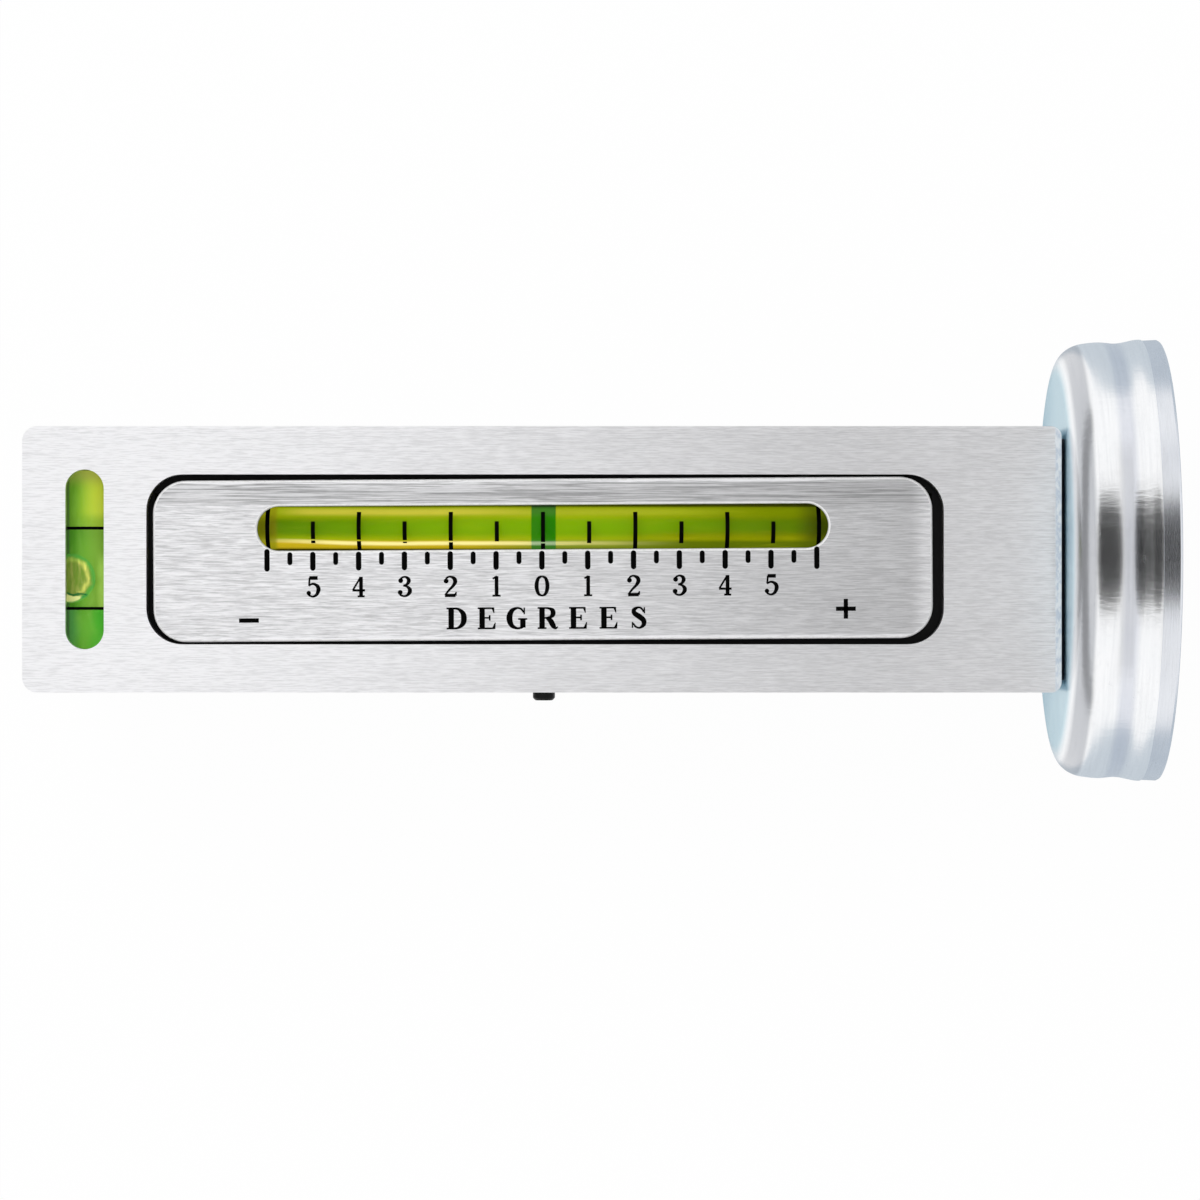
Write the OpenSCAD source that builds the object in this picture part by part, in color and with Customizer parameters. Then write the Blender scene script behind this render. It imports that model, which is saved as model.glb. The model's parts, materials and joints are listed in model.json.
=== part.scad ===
// Camber caster gauge: a bar with two spirit levels on a round pot magnet.
// The origin is the centre of the magnet's contact face. +X points out of that face,
// +Z out of the scale face, and +Y is the side away from the pivot pin's free end.

/* [Magnet] */
// Diameter of the contact face
magnet_d = 60; // [50:0.5:80]
// Length of the steel cup along the gauge
magnet_h = 13.9; // [12.5:0.1:18]
// How far the cup narrows behind its rim, on the radius
cup_neck = 0.4; // [0.1:0.1:1]
// Radius of the cup's rounded back corner
cup_corner_r = 4; // [2:0.1:5]
// Distance from the contact face to where the cup starts to narrow
cup_flare = 3.5; // [3:0.1:5]
// Length over which the cup narrows
cup_taper = 0.8; // [0.4:0.1:2]
// Width of the ground band at the rim
rim_band = 2.8; // [1:0.1:3.5]
// How far the ground band lies below the rim's flare, on the radius
rim_step = 0.1; // [0.05:0.05:0.2]
// Chamfer around the contact face
rim_chamfer = 0.35; // [0.1:0.05:0.6]
// Thickness of the cup's side wall
cup_wall = 3.6; // [3:0.1:4.5]
// Thickness of the cup's floor
cup_floor = 4.1; // [3.5:0.1:4.5]
// Width of the filled gap between the side wall and the ferrite ring
wall_fill = 1.4; // [0.5:0.1:3]
// Width of the filled gap between the ferrite ring and the pole
pole_fill = 1.5; // [0.5:0.1:3]
// Diameter of the steel pole in the middle
pole_d = 19; // [16:0.1:22]
// How far the ferrite lies below the contact face
ferrite_drop = 0.4; // [0.2:0.1:1]

/* [Magnet screw] */
// Thread diameter of the cap screw
magnet_screw_d = 6; // [5:0.5:6]
// Length of its thread inside the bar
magnet_thread = 10.15; // [8:0.05:12]
// Diameter of its head
magnet_head_d = 10; // [9:0.1:10]
// Height of its head
magnet_head_h = 6; // [5:0.1:6]
// Width of its hex socket across the flats
magnet_socket = 5; // [4:0.5:5]
// Depth of its hex socket
magnet_socket_depth = 3; // [2:0.1:4]
// How far its head lies below the contact face
magnet_head_drop = 0.5; // [0.3:0.1:1]
// Room around its head, on the radius
magnet_head_gap = 0.4; // [0.2:0.1:0.8]
// Wire size of the spring lock washer
lock_wire = 1.5; // [1.2:0.1:1.5]
// Width of the split in the lock washer
lock_split = 1; // [0.6:0.1:1.5]

/* [Body] */
// Length of the aluminium bar
body_len = 138.15; // [115:0.05:165]
// Width of the bar across the scale face
body_h = 35.4; // [30:0.1:45]
// Depth of the bar from the scale face to its back
body_t = 30; // [26:0.1:40]
// Corner radius at the free end
free_corner_r = 2; // [0.5:0.1:2.5]
// Corner radius at the magnet end
magnet_corner_r = 1.4; // [0.5:0.1:2.5]
// Thickness of the front wall around the window
front_wall = 2.5; // [2.2:0.1:2.6]
// Thickness of the rear cover
cover_t = 3; // [2.9:0.1:3.2]
// Gap between the bar and the cup, filled by the spacer
spacer_t = 0.45; // [0.3:0.05:1]
// How far the spacer lies inside the bar's outline
spacer_inset = 1.6; // [1:0.1:4]

/* [Window and plate] */
// Length of the bar between its magnet end and the window
window_start = 15.65; // [14:0.05:20]
// Length of the bar between the window and its free end
window_end = 16.5; // [16.4:0.1:20]
// Width of the bar on each side of the window
side_wall = 6.4; // [5.5:0.1:7]
// Corner radius of the window
window_r = 4.8; // [3:0.1:5]
// How far the zero mark and the pivot lie from the window's middle, towards the free end
zero_shift = 0.3; // [0:0.05:0.5]
// Room between the window's ends and the scale plate
plate_gap = 1.15; // [0.8:0.05:2]
// Room between the window's sides and the scale plate
plate_gap_y = 0.55; // [0.4:0.05:1]
// Corner radius of the scale plate
plate_r = 4.4; // [3:0.1:5]
// Thickness of the scale plate
plate_t = 1.2; // [0.8:0.1:1.4]
// How far the plate lies below the scale face
plate_drop = 0.5; // [0.4:0.1:0.6]
// How far the plate is turned in the window, in degrees
plate_skew = 0.33; // [0:0.01:0.4]
// Distance from the plate's ends to the slot over the main vial
slot_end = 13.85; // [10:0.05:20]
// Width of the slot over the main vial
slot_h = 5.9; // [5:0.1:6.4]
// Distance from the window's edge to the middle of the slot
slot_top = 7; // [6.8:0.1:7.5]

/* [Main vial] */
// Radius of the vial's bow, at the middle of the tube: it sets the degree spacing
bow_r = 348.5; // [340:0.5:400]
// Outer diameter of the tube
vial_d = 9; // [8.8:0.1:9.1]
// Bore of the tube
vial_bore = 6.4; // [6:0.1:6.6]
// How far the tube's ends lie inside the plate's ends
vial_inset = 1.45; // [1:0.05:3]
// Room between the tube and the back of the plate
vial_gap = 0.25; // [0.1:0.05:0.5]
// Thickness of each end plug
vial_plug_t = 3; // [2:0.1:3.4]
// Length of the bubble
bubble_len = 8.4; // [7.5:0.1:8.6]
// Width of the bubble
bubble_w = 5.2; // [4:0.1:5.4]
// Height of the bubble's flat underside above the middle of the bore
bubble_base = 1.2; // [1:0.1:1.5]

/* [Carrier] */
// How far the carrier's flange reaches under the front wall
flange_lap = 1.3; // [1.2:0.1:1.4]
// How far it reaches under the front wall across the bar
flange_lap_y = 0.7; // [0.6:0.1:0.8]
// Room around the flange in the pocket
pocket_gap = 0.8; // [0.6:0.1:0.9]
// Room beside the flange across the bar
pocket_gap_y = 0.5; // [0.5:0.05:0.6]
// Room between the flange and the front wall, for the tilt
tilt_room = 1.2; // [1:0.1:1.4]
// How far the raised pad lies inside the plate's outline
pad_inset = 0.9; // [0.6:0.1:1.2]
// Length of each seat under the tube's ends
seat_len = 8.4; // [5:0.1:12]
// How far past the tube's ends the seats go on
seat_over = 0.75; // [0.3:0.05:1]
// Room beside the tube in the deep part of the channel, between the seats
channel_gap = 0.2; // [0.1:0.05:0.4]
// Thickness of the floor under the channel
carrier_floor = 3; // [2.6:0.1:3.2]
// Thickness of the reflector card
card_t = 0.5; // [0.3:0.1:0.6]
// Room between the reflector card and the pivot pin or the tube above it
card_gap = 0.3; // [0.2:0.05:0.4]

/* [Pivot] */
// Diameter of the pivot pin
pin_d = 3; // [2.8:0.1:3]
// Room between the pin and the main vial above it
pin_gap = 0.25; // [0.15:0.05:0.4]
// How far the pin's free end stands out of the bar
pin_proud = 1.3; // [0.8:0.1:2]
// Chamfer at the pin's ends
pin_chamfer = 0.35; // [0.1:0.05:0.5]
// Outer diameter of each pivot bush
bush_d = 4.6; // [4.4:0.1:4.8]
// Length of each bush inside the carrier
bush_len = 2.6; // [2:0.1:2.8]
// Diameter of the bush's flange
bush_flange_d = 6.4; // [6:0.1:6.6]
// Thickness of the bush's flange
bush_flange_t = 0.4; // [0.3:0.05:0.4]

/* [Zero screw] */
// Distance from the plate's end to the zero screw
zero_end = 9.85; // [9:0.05:15]
// Thread diameter of the zero screw
zero_d = 3; // [2.5:0.1:3]
// How far its tip stands out of the insert
zero_tip = 0.7; // [0:0.1:1]
// Room around its tip in the carrier, on the radius
zero_tip_gap = 0.4; // [0.2:0.1:0.6]
// Diameter of its head
zero_head_d = 5.5; // [5:0.1:5.6]
// Height of its head
zero_head_h = 1.8; // [1.4:0.1:1.8]
// Width of its hex socket across the flats
zero_socket = 2; // [1.5:0.1:2.5]
// Depth of its hex socket
zero_socket_depth = 1; // [0.6:0.1:1.2]
// Diameter of its counterbore in the rear cover
zero_counterbore_d = 6.2; // [6:0.1:6.6]
// How far its head lies below the cover's outer face
zero_head_drop = 0.2; // [0.1:0.05:0.4]
// Outer diameter of the brass insert
insert_d = 5; // [4.8:0.1:5]
// Length of the brass insert
insert_len = 6.5; // [5:0.1:6.6]
// Diameter of the spring's wire
spring_wire = 0.7; // [0.5:0.05:0.8]
// Diameter of the spring at the middle of its wire
spring_mid_d = 5; // [4.6:0.1:5.4]
// Distance between the spring's turns when fitted, before it is rounded to whole half turns
spring_pitch = 1.4; // [1.2:0.05:2]
// Thickness of the seat washer under the spring
seat_t = 0.5; // [0.4:0.1:0.6]
// Outer diameter of the seat washer
seat_d = 7.2; // [6.6:0.1:8]

/* [Cross vial] */
// Distance from the bar's free end to the middle of the cross vial
cross_end = 8.3; // [7:0.1:8.4]
// Distance from the bar's sides to the ends of the cross vial
cross_side = 4.2; // [3.5:0.1:6]
// How far the ends of the slot over it lie inside its own ends
cross_slot_inset = 1.55; // [1:0.05:3]
// Width of the slot over the cross vial
cross_slot_w = 5.1; // [4.6:0.1:5.4]
// Thickness of the front wall over the cross vial
cross_wall = 1.6; // [1.4:0.1:1.8]
// Outer diameter of the cross vial
cross_d = 9.4; // [9.2:0.1:9.5]
// Bore of the cross vial at its middle
cross_bore = 7.2; // [7:0.1:7.4]
// Room between the ends of the cross vial and its pocket
cross_end_gap = 0.6; // [0.5:0.1:1]
// Corner radius of its pocket
cross_pocket_r = 1; // [0.5:0.1:1]
// Thickness of each plug in the cross vial
cross_plug_t = 1.6; // [1.2:0.1:1.8]
// Diameter of each plug in the cross vial
cross_plug_d = 7; // [6.8:0.1:7.4]
// Clearance around the bubble in the cross vial
cross_bubble_gap = 0.35; // [0.3:0.05:0.4]
// Radius of the barrel-shaped bore, along the vial
barrel_r = 200; // [160:5:260]
// Radius of the bubble's outline
cross_bubble_r = 3.3; // [2.8:0.1:3.3]
// Distance from the vial's middle to the middle of the bubble's outline
cross_bubble_x = 2.2; // [1.8:0.1:2.2]
// Distance of the bubble from the middle of the bar
cross_bubble_y = 2.5; // [0:0.1:4]
// Thickness of the rubber pad under the holder
pad_t = 1.2; // [0.8:0.1:1.6]
// Distance from the vial's middle down to the holder's edges
holder_drop = 3.2; // [3:0.1:3.4]
// Thickness of the reflector liner
liner_t = 0.35; // [0.3:0.05:0.4]
// Room around the holder in its pocket
holder_gap = 0.2; // [0.15:0.05:0.3]

/* [Cover screws] */
// Thread diameter of the cover screws
cover_screw_d = 2.5; // [2:0.1:2.5]
// Length of the cover screws
cover_screw_len = 8; // [7:0.5:10]
// Diameter of their countersunk heads
cover_head_d = 4.6; // [4:0.1:4.7]
// Height of their heads
cover_head_h = 1.3; // [1:0.1:1.5]
// Width of their hex sockets across the flats
cover_socket = 1.5; // [1:0.1:1.6]
// Depth of their hex sockets
cover_socket_depth = 0.9; // [0.5:0.1:1]
// Distance from the bar's magnet end to the first pair
cover_screw_start = 7.65; // [6:0.05:12]
// Distance from the last pair to the bar's free end
cover_screw_end = 16.5; // [16:0.1:24]

/* [Fits] */
// Clearance of a running fit, on the radius
run_gap = 0.05; // [0.03:0.01:0.08]
// Clearance between a screw's thread and the hole that holds it, on the radius
thread_gap = 0.04; // [0.02:0.01:0.08]
// Clearance of the zero screw in its insert, on the radius
zero_gap = 0.1; // [0.08:0.01:0.1]
// Clearance of a screw in a plain hole, on the radius
hole_gap = 0.2; // [0.15:0.05:0.3]
// Clearance between seated pieces
seat_gap = 0.05; // [0.02:0.01:0.08]
// Clearance around a bubble
bubble_gap = 0.25; // [0.2:0.05:0.3]

/* [Hidden] */

$fn = 64;
bow_fn = 1440;
barrel_fn = 256;
cup_fn = 128;
spring_sides = 6;
rings_per_turn = 8;
cut = 1;

ferrite_d = magnet_d - 2 * (cup_wall + wall_fill);
ferrite_bore = pole_d + 2 * pole_fill;
pole_h = magnet_h - cup_floor;
ferrite_h = pole_h - ferrite_drop;
pole_counterbore = magnet_head_h + lock_wire + magnet_head_drop;
magnet_seat = pole_counterbore - lock_wire;

front_z = body_t / 2;
back_z = -front_z;
inner_front_z = front_z - front_wall;
cover_z = back_z + cover_t;
body_end = magnet_h + spacer_t;
free_end = body_end + body_len;
magnet_screw_len = body_end - magnet_seat + magnet_thread;

window_w = body_len - window_start - window_end;
window_h = body_h - 2 * side_wall;
window_x = body_end + window_start + window_w / 2;
zero_x = window_x + zero_shift;
plate_w = window_w - 2 * plate_gap;
plate_h = window_h - 2 * plate_gap_y;
slot_w = plate_w - 2 * slot_end;
slot_rise = window_h / 2 - slot_top;
pocket_w = window_w + 2 * (flange_lap + pocket_gap);
pocket_h = window_h + 2 * (flange_lap_y + pocket_gap_y);
flange_w = window_w + 2 * flange_lap;
flange_h = window_h + 2 * flange_lap_y;
flange_z = inner_front_z - tilt_room;
plate_z = front_z - plate_drop;
plate_back_z = plate_z - plate_t;

vial_len = plate_w - 2 * vial_inset;
vial_z = plate_back_z - vial_gap - vial_d / 2;
bow_z = vial_z - bow_r;
channel_w = vial_len - 2 * seat_len;
channel_h = vial_d + 2 * channel_gap;
seat_h = vial_d + 2 * seat_gap;
pin_z = vial_z - vial_d / 2 - pin_gap - pin_d / 2;
tube_low_z = bow_z + sqrt(pow(bow_r - vial_d / 2, 2) - pow(channel_w / 2, 2));
channel_z = min(pin_z - pin_d / 2, tube_low_z) - card_gap - card_t;
carrier_z = channel_z - carrier_floor;
vial_half = vial_len / 2 / bow_r * 180 / PI;
plug_angle = vial_plug_t / bow_r * 180 / PI;
seat_angle = seat_over / bow_r * 180 / PI;
bore_half = vial_half - plug_angle;
bubble_half = bubble_len / 2 / bow_r * 180 / PI;
bubble_rest = bore_half - bubble_half - bubble_gap / bow_r * 180 / PI;

zero_arm = plate_w / 2 - zero_end;
zero_y = (flange_h / 2 + channel_h / 2 - slot_rise) / 2;
zero_tip_z = carrier_z + insert_len + zero_tip;
zero_counterbore = zero_head_h + zero_head_drop;
zero_head_z = back_z + zero_counterbore;
spring_bottom = cover_z + seat_t + spring_wire / 2 + seat_gap;
spring_top = carrier_z - spring_wire / 2 - seat_gap;
spring_turns = round(2 * (spring_top - spring_bottom) / spring_pitch) / 2;

cross_x = free_end - cross_end;
cross_z = front_z - cross_wall - seat_gap - cross_d / 2;
cross_len = body_h - 2 * cross_side;
cross_slot_len = cross_len - 2 * cross_slot_inset;
cross_pocket_w = cross_d + 2 * holder_gap;
cross_pocket_len = cross_len + 2 * cross_end_gap;
cross_holder_len = cross_len + 2 * (cross_end_gap - holder_gap);
cross_inner = cross_len - 2 * cross_plug_t;
liner_r = cross_d / 2 + seat_gap;
cross_level = cross_bubble_r - cross_bubble_x + bubble_gap;

cover_screw_y = (pocket_h + body_h) / 4;
cover_screw_step = (body_len - cover_screw_start - cover_screw_end) / 2;
cover_screw_places = [
  for (i = [0:2], side = [-1, 1])
    [-body_end - cover_screw_start - i * cover_screw_step, side * cover_screw_y]
];

// A flat block with round corners, its back on z = 0
module round_block(w, h, r, t) {
  linear_extrude(t) round_outline(w, h, r);
}

module round_outline(w, h, r) {
  square([w - 2 * r, h], center = true);
  square([w, h - 2 * r], center = true);
  for (x = [-1, 1], y = [-1, 1]) translate([x * (w / 2 - r), y * (h / 2 - r)]) circle(r);
}

// A slot with fully round ends, its back on z = 0
module round_slot(w, h, t) {
  linear_extrude(t) {
    square([w - h, h], center = true);
    for (x = [-1, 1]) translate([x * (w - h) / 2, 0]) circle(h / 2);
  }
}

// Children drawn about Z are turned so that Z points from the contact face into the gauge
module from_face() {
  rotate([0, -90, 0]) children();
}

// Children drawn about Z are turned so that Z points along +Y
module along_y() {
  rotate([-90, 0, 0]) children();
}

module hex_socket(across, depth) {
  cylinder(r = across / sqrt(3), h = depth, $fn = 6);
}

module cylinder_ring(outer_d, inner_d, h) {
  difference() {
    cylinder(d = outer_d, h = h);
    translate([0, 0, -cut]) cylinder(d = inner_d, h = h + 2 * cut);
  }
}

// The outline of the bar: two overlapping halves, each with the corner radius of its own end
module body_outline() {
  magnet_half = body_len / 2 + magnet_corner_r;
  free_half = body_len / 2 + free_corner_r;
  translate([-body_end - magnet_half / 2, 0]) round_outline(magnet_half, body_h, magnet_corner_r);
  translate([-free_end + free_half / 2, 0]) round_outline(free_half, body_h, free_corner_r);
}

module at_zero(z) {
  translate([-zero_x, 0, z]) children();
}

module at_zero_screw(z) {
  translate([-zero_x + zero_arm, -zero_y, z]) children();
}

// Children are a section of the main vial, with x outwards from the bow's centre
module bow(half) {
  translate([-zero_x, slot_rise, bow_z])
    rotate([90, 0, 0])
      rotate([0, 0, 90 - half])
        rotate_extrude(angle = 2 * half, $fn = bow_fn) children();
}

module bow_tube(d, half) {
  bow(half) translate([bow_r, 0]) circle(d / 2);
}

// Children are turned along the bow, by an angle towards the magnet
module along_bow(angle) {
  translate([-zero_x, slot_rise, bow_z])
    rotate([0, angle, 0])
      translate([zero_x, -slot_rise, -bow_z]) children();
}

// The barrel-shaped bore of the cross vial, made smaller all round by a gap
module cross_barrel(gap, length) {
  translate([-cross_x, 0, cross_z])
    along_y()
      rotate_extrude($fn = barrel_fn) intersection() {
        translate([cross_bore / 2 - barrel_r, 0]) circle(barrel_r - gap, $fn = bow_fn);
        translate([0, -length / 2]) square([cross_bore, length]);
      }
}

module housing() {
  color("gainsboro") difference() {
    translate([0, 0, cover_z]) linear_extrude(front_z - cover_z) body_outline();
    translate([-window_x, 0, inner_front_z - cut])
      round_block(window_w, window_h, window_r, front_wall + 2 * cut);
    translate([-window_x, 0, cover_z - cut])
      round_block(pocket_w, pocket_h, window_r, inner_front_z - cover_z + cut);
    translate([-cross_x, 0, cross_z])
      rotate([0, 0, 90]) round_slot(cross_slot_len, cross_slot_w, front_z - cross_z + cut);
    translate([-cross_x, 0, cover_z - cut])
      round_block(cross_pocket_w, cross_pocket_len, cross_pocket_r, front_z - cross_wall - cover_z + cut);
    at_zero(pin_z) translate([0, -body_h / 2 - cut, 0])
      along_y() cylinder(d = pin_d, h = body_h - pin_proud + cut);
    for (place = cover_screw_places) translate([place.x, place.y, cover_z - cut])
      cylinder(d = cover_screw_d + 2 * thread_gap, h = cover_screw_len - cover_t + 2 * cut);
    translate([-body_end + cut, 0, 0])
      from_face() cylinder(d = magnet_screw_d + 2 * thread_gap, h = magnet_thread + 2 * cut);
  }
}

module rear_cover() {
  color("silver") difference() {
    translate([0, 0, back_z]) linear_extrude(cover_t) body_outline();
    for (place = cover_screw_places) translate([place.x, place.y, back_z]) {
      translate([0, 0, -cut]) cylinder(d = cover_screw_d + 2 * hole_gap, h = cover_t + 2 * cut);
      cylinder(d1 = cover_head_d + 2 * seat_gap, d2 = cover_screw_d + 2 * seat_gap, h = cover_head_h);
    }
    at_zero_screw(back_z - cut) {
      cylinder(d = zero_d + 2 * hole_gap, h = cover_t + 2 * cut);
      cylinder(d = zero_counterbore_d, h = zero_counterbore + cut);
    }
  }
}

module cover_screw() {
  difference() {
    union() {
      cylinder(d1 = cover_head_d, d2 = cover_screw_d, h = cover_head_h);
      cylinder(d = cover_screw_d, h = cover_screw_len);
    }
    translate([0, 0, -cut]) hex_socket(cover_socket, cut + cover_socket_depth);
  }
}

module cover_screws() {
  color("dimgray") for (place = cover_screw_places) translate([place.x, place.y, back_z]) cover_screw();
}

module scale_plate() {
  color("lightgray") at_zero(plate_back_z) rotate([0, 0, plate_skew]) difference() {
    round_block(plate_w, plate_h, plate_r, plate_t);
    translate([0, slot_rise, -cut]) round_slot(slot_w, slot_h, plate_t + 2 * cut);
  }
}

module vial_carrier() {
  color("black") difference() {
    union() {
      translate([-window_x, 0, carrier_z])
        round_block(flange_w, flange_h, window_r, flange_z - carrier_z);
      at_zero(carrier_z)
        round_block(plate_w - 2 * pad_inset, plate_h - 2 * pad_inset, plate_r - pad_inset,
          plate_back_z - carrier_z);
    }
    bow(vial_half + seat_angle) translate([bow_r, 0]) {
      circle(seat_h / 2);
      translate([0, -seat_h / 2]) square([vial_d, seat_h]);
    }
    at_zero(channel_z) translate([-channel_w / 2, slot_rise - channel_h / 2, 0])
      cube([channel_w, channel_h, plate_back_z - channel_z + cut]);
    at_zero(pin_z) along_y() {
      translate([0, 0, -body_h / 2]) cylinder(d = pin_d + 2 * hole_gap, h = body_h);
      for (side = [-1, 1]) scale([1, 1, side])
        translate([0, 0, flange_h / 2 - bush_len]) cylinder(d = bush_d, h = bush_len + cut);
    }
    at_zero_screw(carrier_z - cut) {
      cylinder(d = insert_d, h = insert_len + cut);
      cylinder(d = zero_d + 2 * zero_tip_gap, h = zero_tip_z - carrier_z + 2 * cut);
    }
  }
}

module reflector_card() {
  color("ivory") at_zero(channel_z)
    translate([0, slot_rise, 0])
      round_block(channel_w - 2 * channel_gap, vial_d, card_t, card_t);
}

module main_vial_tube() {
  color("yellowgreen") difference() {
    bow_tube(vial_d, vial_half);
    bow_tube(vial_bore, vial_half + plug_angle);
  }
}

module main_vial_plugs() {
  color("olivedrab") for (side = [-1, 1])
    along_bow(side * (bore_half + plug_angle / 2)) bow_tube(vial_bore - seat_gap, plug_angle / 2);
}

module main_vial_fluid() {
  color("greenyellow") bow(bore_half) difference() {
    translate([bow_r, 0]) circle(vial_bore / 2 - seat_gap / 2);
    translate([bow_r + bubble_base - bubble_gap, -vial_bore]) square(2 * vial_bore);
  }
}

module main_bubble() {
  color("honeydew") along_bow(-bubble_rest) intersection() {
    bow(bubble_half + plug_angle) intersection() {
      translate([bow_r, 0]) circle(vial_bore / 2 - bubble_gap);
      translate([bow_r + bubble_base, -vial_bore]) square(2 * vial_bore);
    }
    at_zero(vial_z) translate([0, slot_rise, -vial_d]) round_slot(bubble_len, bubble_w, 2 * vial_d);
  }
}

module pivot_pin() {
  length = body_h;
  color("black") at_zero(pin_z) translate([0, -body_h / 2 - pin_proud, 0]) along_y() {
    translate([0, 0, pin_chamfer]) cylinder(d = pin_d, h = length - 2 * pin_chamfer);
    cylinder(d1 = pin_d - 2 * pin_chamfer, d2 = pin_d, h = pin_chamfer);
    translate([0, 0, length - pin_chamfer]) cylinder(d1 = pin_d, d2 = pin_d - 2 * pin_chamfer, h = pin_chamfer);
  }
}

module pivot_bushes() {
  color("goldenrod") at_zero(pin_z) along_y() for (side = [-1, 1]) scale([1, 1, side]) difference() {
    translate([0, 0, flange_h / 2]) {
      cylinder(d = bush_flange_d, h = bush_flange_t);
      translate([0, 0, -bush_len]) cylinder(d = bush_d, h = bush_len);
    }
    cylinder(d = pin_d + 2 * run_gap, h = body_h);
  }
}

module zero_screw() {
  color("dimgray") at_zero_screw(zero_head_z) difference() {
    union() {
      translate([0, 0, -zero_head_h]) cylinder(d = zero_head_d, h = zero_head_h);
      cylinder(d = zero_d, h = zero_tip_z - zero_head_z);
    }
    translate([0, 0, -zero_head_h - cut]) hex_socket(zero_socket, zero_socket_depth + cut);
  }
}

module zero_insert() {
  color("goldenrod") at_zero_screw(carrier_z) cylinder_ring(insert_d, zero_d + 2 * zero_gap, insert_len);
}

// One ring of the spring's tube, at a share of its length
function spring_ring(share, r) = [
  for (side = [0:spring_sides - 1])
    let (turn = share * spring_turns * 360, around = side * 360 / spring_sides)
    let (out = spring_mid_d / 2 + r * cos(around))
    let (z = spring_bottom + share * (spring_top - spring_bottom) + r * sin(around))
    [out * cos(turn), out * sin(turn), z]
];

module zero_spring() {
  steps = spring_turns * rings_per_turn;
  points = [for (i = [0:steps]) each spring_ring(i / steps, spring_wire / 2)];
  centres = [for (i = [0:steps]) spring_ring(i / steps, 0)[0]];
  apart = [
    for (i = [0:steps], j = [i + rings_per_turn / 2:1:steps]) norm(centres[i] - centres[j])
  ];
  sides = [
    for (i = [0:steps - 1], j = [0:spring_sides - 1])
      let (a = i * spring_sides + j, b = i * spring_sides + (j + 1) % spring_sides)
      [a, b, b + spring_sides, a + spring_sides]
  ];
  first_end = [for (j = [spring_sides - 1:-1:0]) j];
  last_end = [for (j = [0:spring_sides - 1]) steps * spring_sides + j];
  echo(least_gap_between_turns = min(apart) - spring_wire);
  color("lightsteelblue") at_zero_screw(0)
    polyhedron(points = points, faces = concat([first_end], sides, [last_end]));
}

module spring_seat() {
  color("silver") at_zero_screw(cover_z) cylinder_ring(seat_d, zero_d + 2 * hole_gap, seat_t);
}

module cross_vial_tube() {
  color("yellowgreen") difference() {
    translate([-cross_x, -cross_len / 2, cross_z]) along_y() cylinder(d = cross_d, h = cross_len);
    cross_barrel(0, cross_inner);
    translate([-cross_x, 0, cross_z]) along_y() for (side = [-1, 1]) scale([1, 1, side])
      translate([0, 0, cross_inner / 2]) cylinder(d = cross_plug_d, h = cross_plug_t + cut);
  }
}

module cross_vial_plugs() {
  color("olivedrab") translate([-cross_x, 0, cross_z]) along_y() for (side = [-1, 1]) scale([1, 1, side])
    translate([0, 0, cross_inner / 2]) cylinder(d = cross_plug_d - seat_gap, h = cross_plug_t);
}

module cross_vial_fluid() {
  color("limegreen") difference() {
    cross_barrel(seat_gap / 2, cross_inner);
    translate([-cross_x + cross_level - 2 * cross_d, -cross_len, cross_z - cross_d])
      cube([2 * cross_d, 2 * cross_len, 2 * cross_d]);
  }
}

module cross_bubble() {
  color("honeydew") intersection() {
    translate([0, -cross_bubble_y, 0]) cross_barrel(cross_bubble_gap, cross_inner);
    translate([-cross_x - cross_bubble_x, -cross_bubble_y, cross_z - cross_d / 2])
      cylinder(r = cross_bubble_r, h = cross_d);
  }
}

module cross_reflector() {
  width = 2 * sqrt(pow(liner_r, 2) - pow(holder_drop, 2));
  color("ivory") intersection() {
    translate([-cross_x, -cross_len / 2, cross_z])
      along_y() cylinder_ring(2 * (liner_r + liner_t - seat_gap), 2 * liner_r, cross_len);
    translate([-cross_x - width / 2, -cross_len / 2, cross_z - cross_d])
      cube([width, cross_len, cross_d - holder_drop]);
  }
}

module cross_holder() {
  bottom = cover_z + pad_t;
  color("dimgray") difference() {
    translate([-cross_x, 0, bottom])
      round_block(cross_d, cross_holder_len, cross_pocket_r, cross_z - holder_drop - bottom);
    translate([-cross_x, -cross_len, cross_z]) along_y() cylinder(r = liner_r + liner_t, h = 2 * cross_len);
  }
}

module cross_pad() {
  color("darkslategray") translate([-cross_x, 0, cover_z])
    round_block(cross_d, cross_holder_len, cross_pocket_r, pad_t);
}

module magnet_cup() {
  r = magnet_d / 2;
  neck_r = r - cup_neck;
  color("lightsteelblue") from_face() difference() {
    rotate_extrude($fn = cup_fn) {
      square([neck_r, magnet_h - cup_corner_r]);
      square([neck_r - cup_corner_r, magnet_h]);
      translate([neck_r - cup_corner_r, magnet_h - cup_corner_r]) circle(cup_corner_r);
      polygon([
        [0, 0], [r - rim_step - rim_chamfer, 0], [r - rim_step, rim_chamfer],
        [r - rim_step, rim_band], [r, rim_band], [r, cup_flare],
        [neck_r, cup_flare + cup_taper], [0, cup_flare + cup_taper]
      ]);
    }
    translate([0, 0, -cut]) cylinder(r = r - cup_wall, h = pole_h + cut);
    cylinder(d = magnet_screw_d + 2 * hole_gap, h = magnet_h + cut);
  }
}

module ferrite_ring() {
  color("dimgray") translate([-ferrite_drop, 0, 0])
    from_face() cylinder_ring(ferrite_d, ferrite_bore, ferrite_h);
}

module pole_bush() {
  color("silver") from_face() difference() {
    cylinder_ring(pole_d, magnet_screw_d + 2 * hole_gap, pole_h);
    translate([0, 0, -cut]) cylinder(d = magnet_head_d + 2 * magnet_head_gap, h = pole_counterbore + cut);
  }
}

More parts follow.
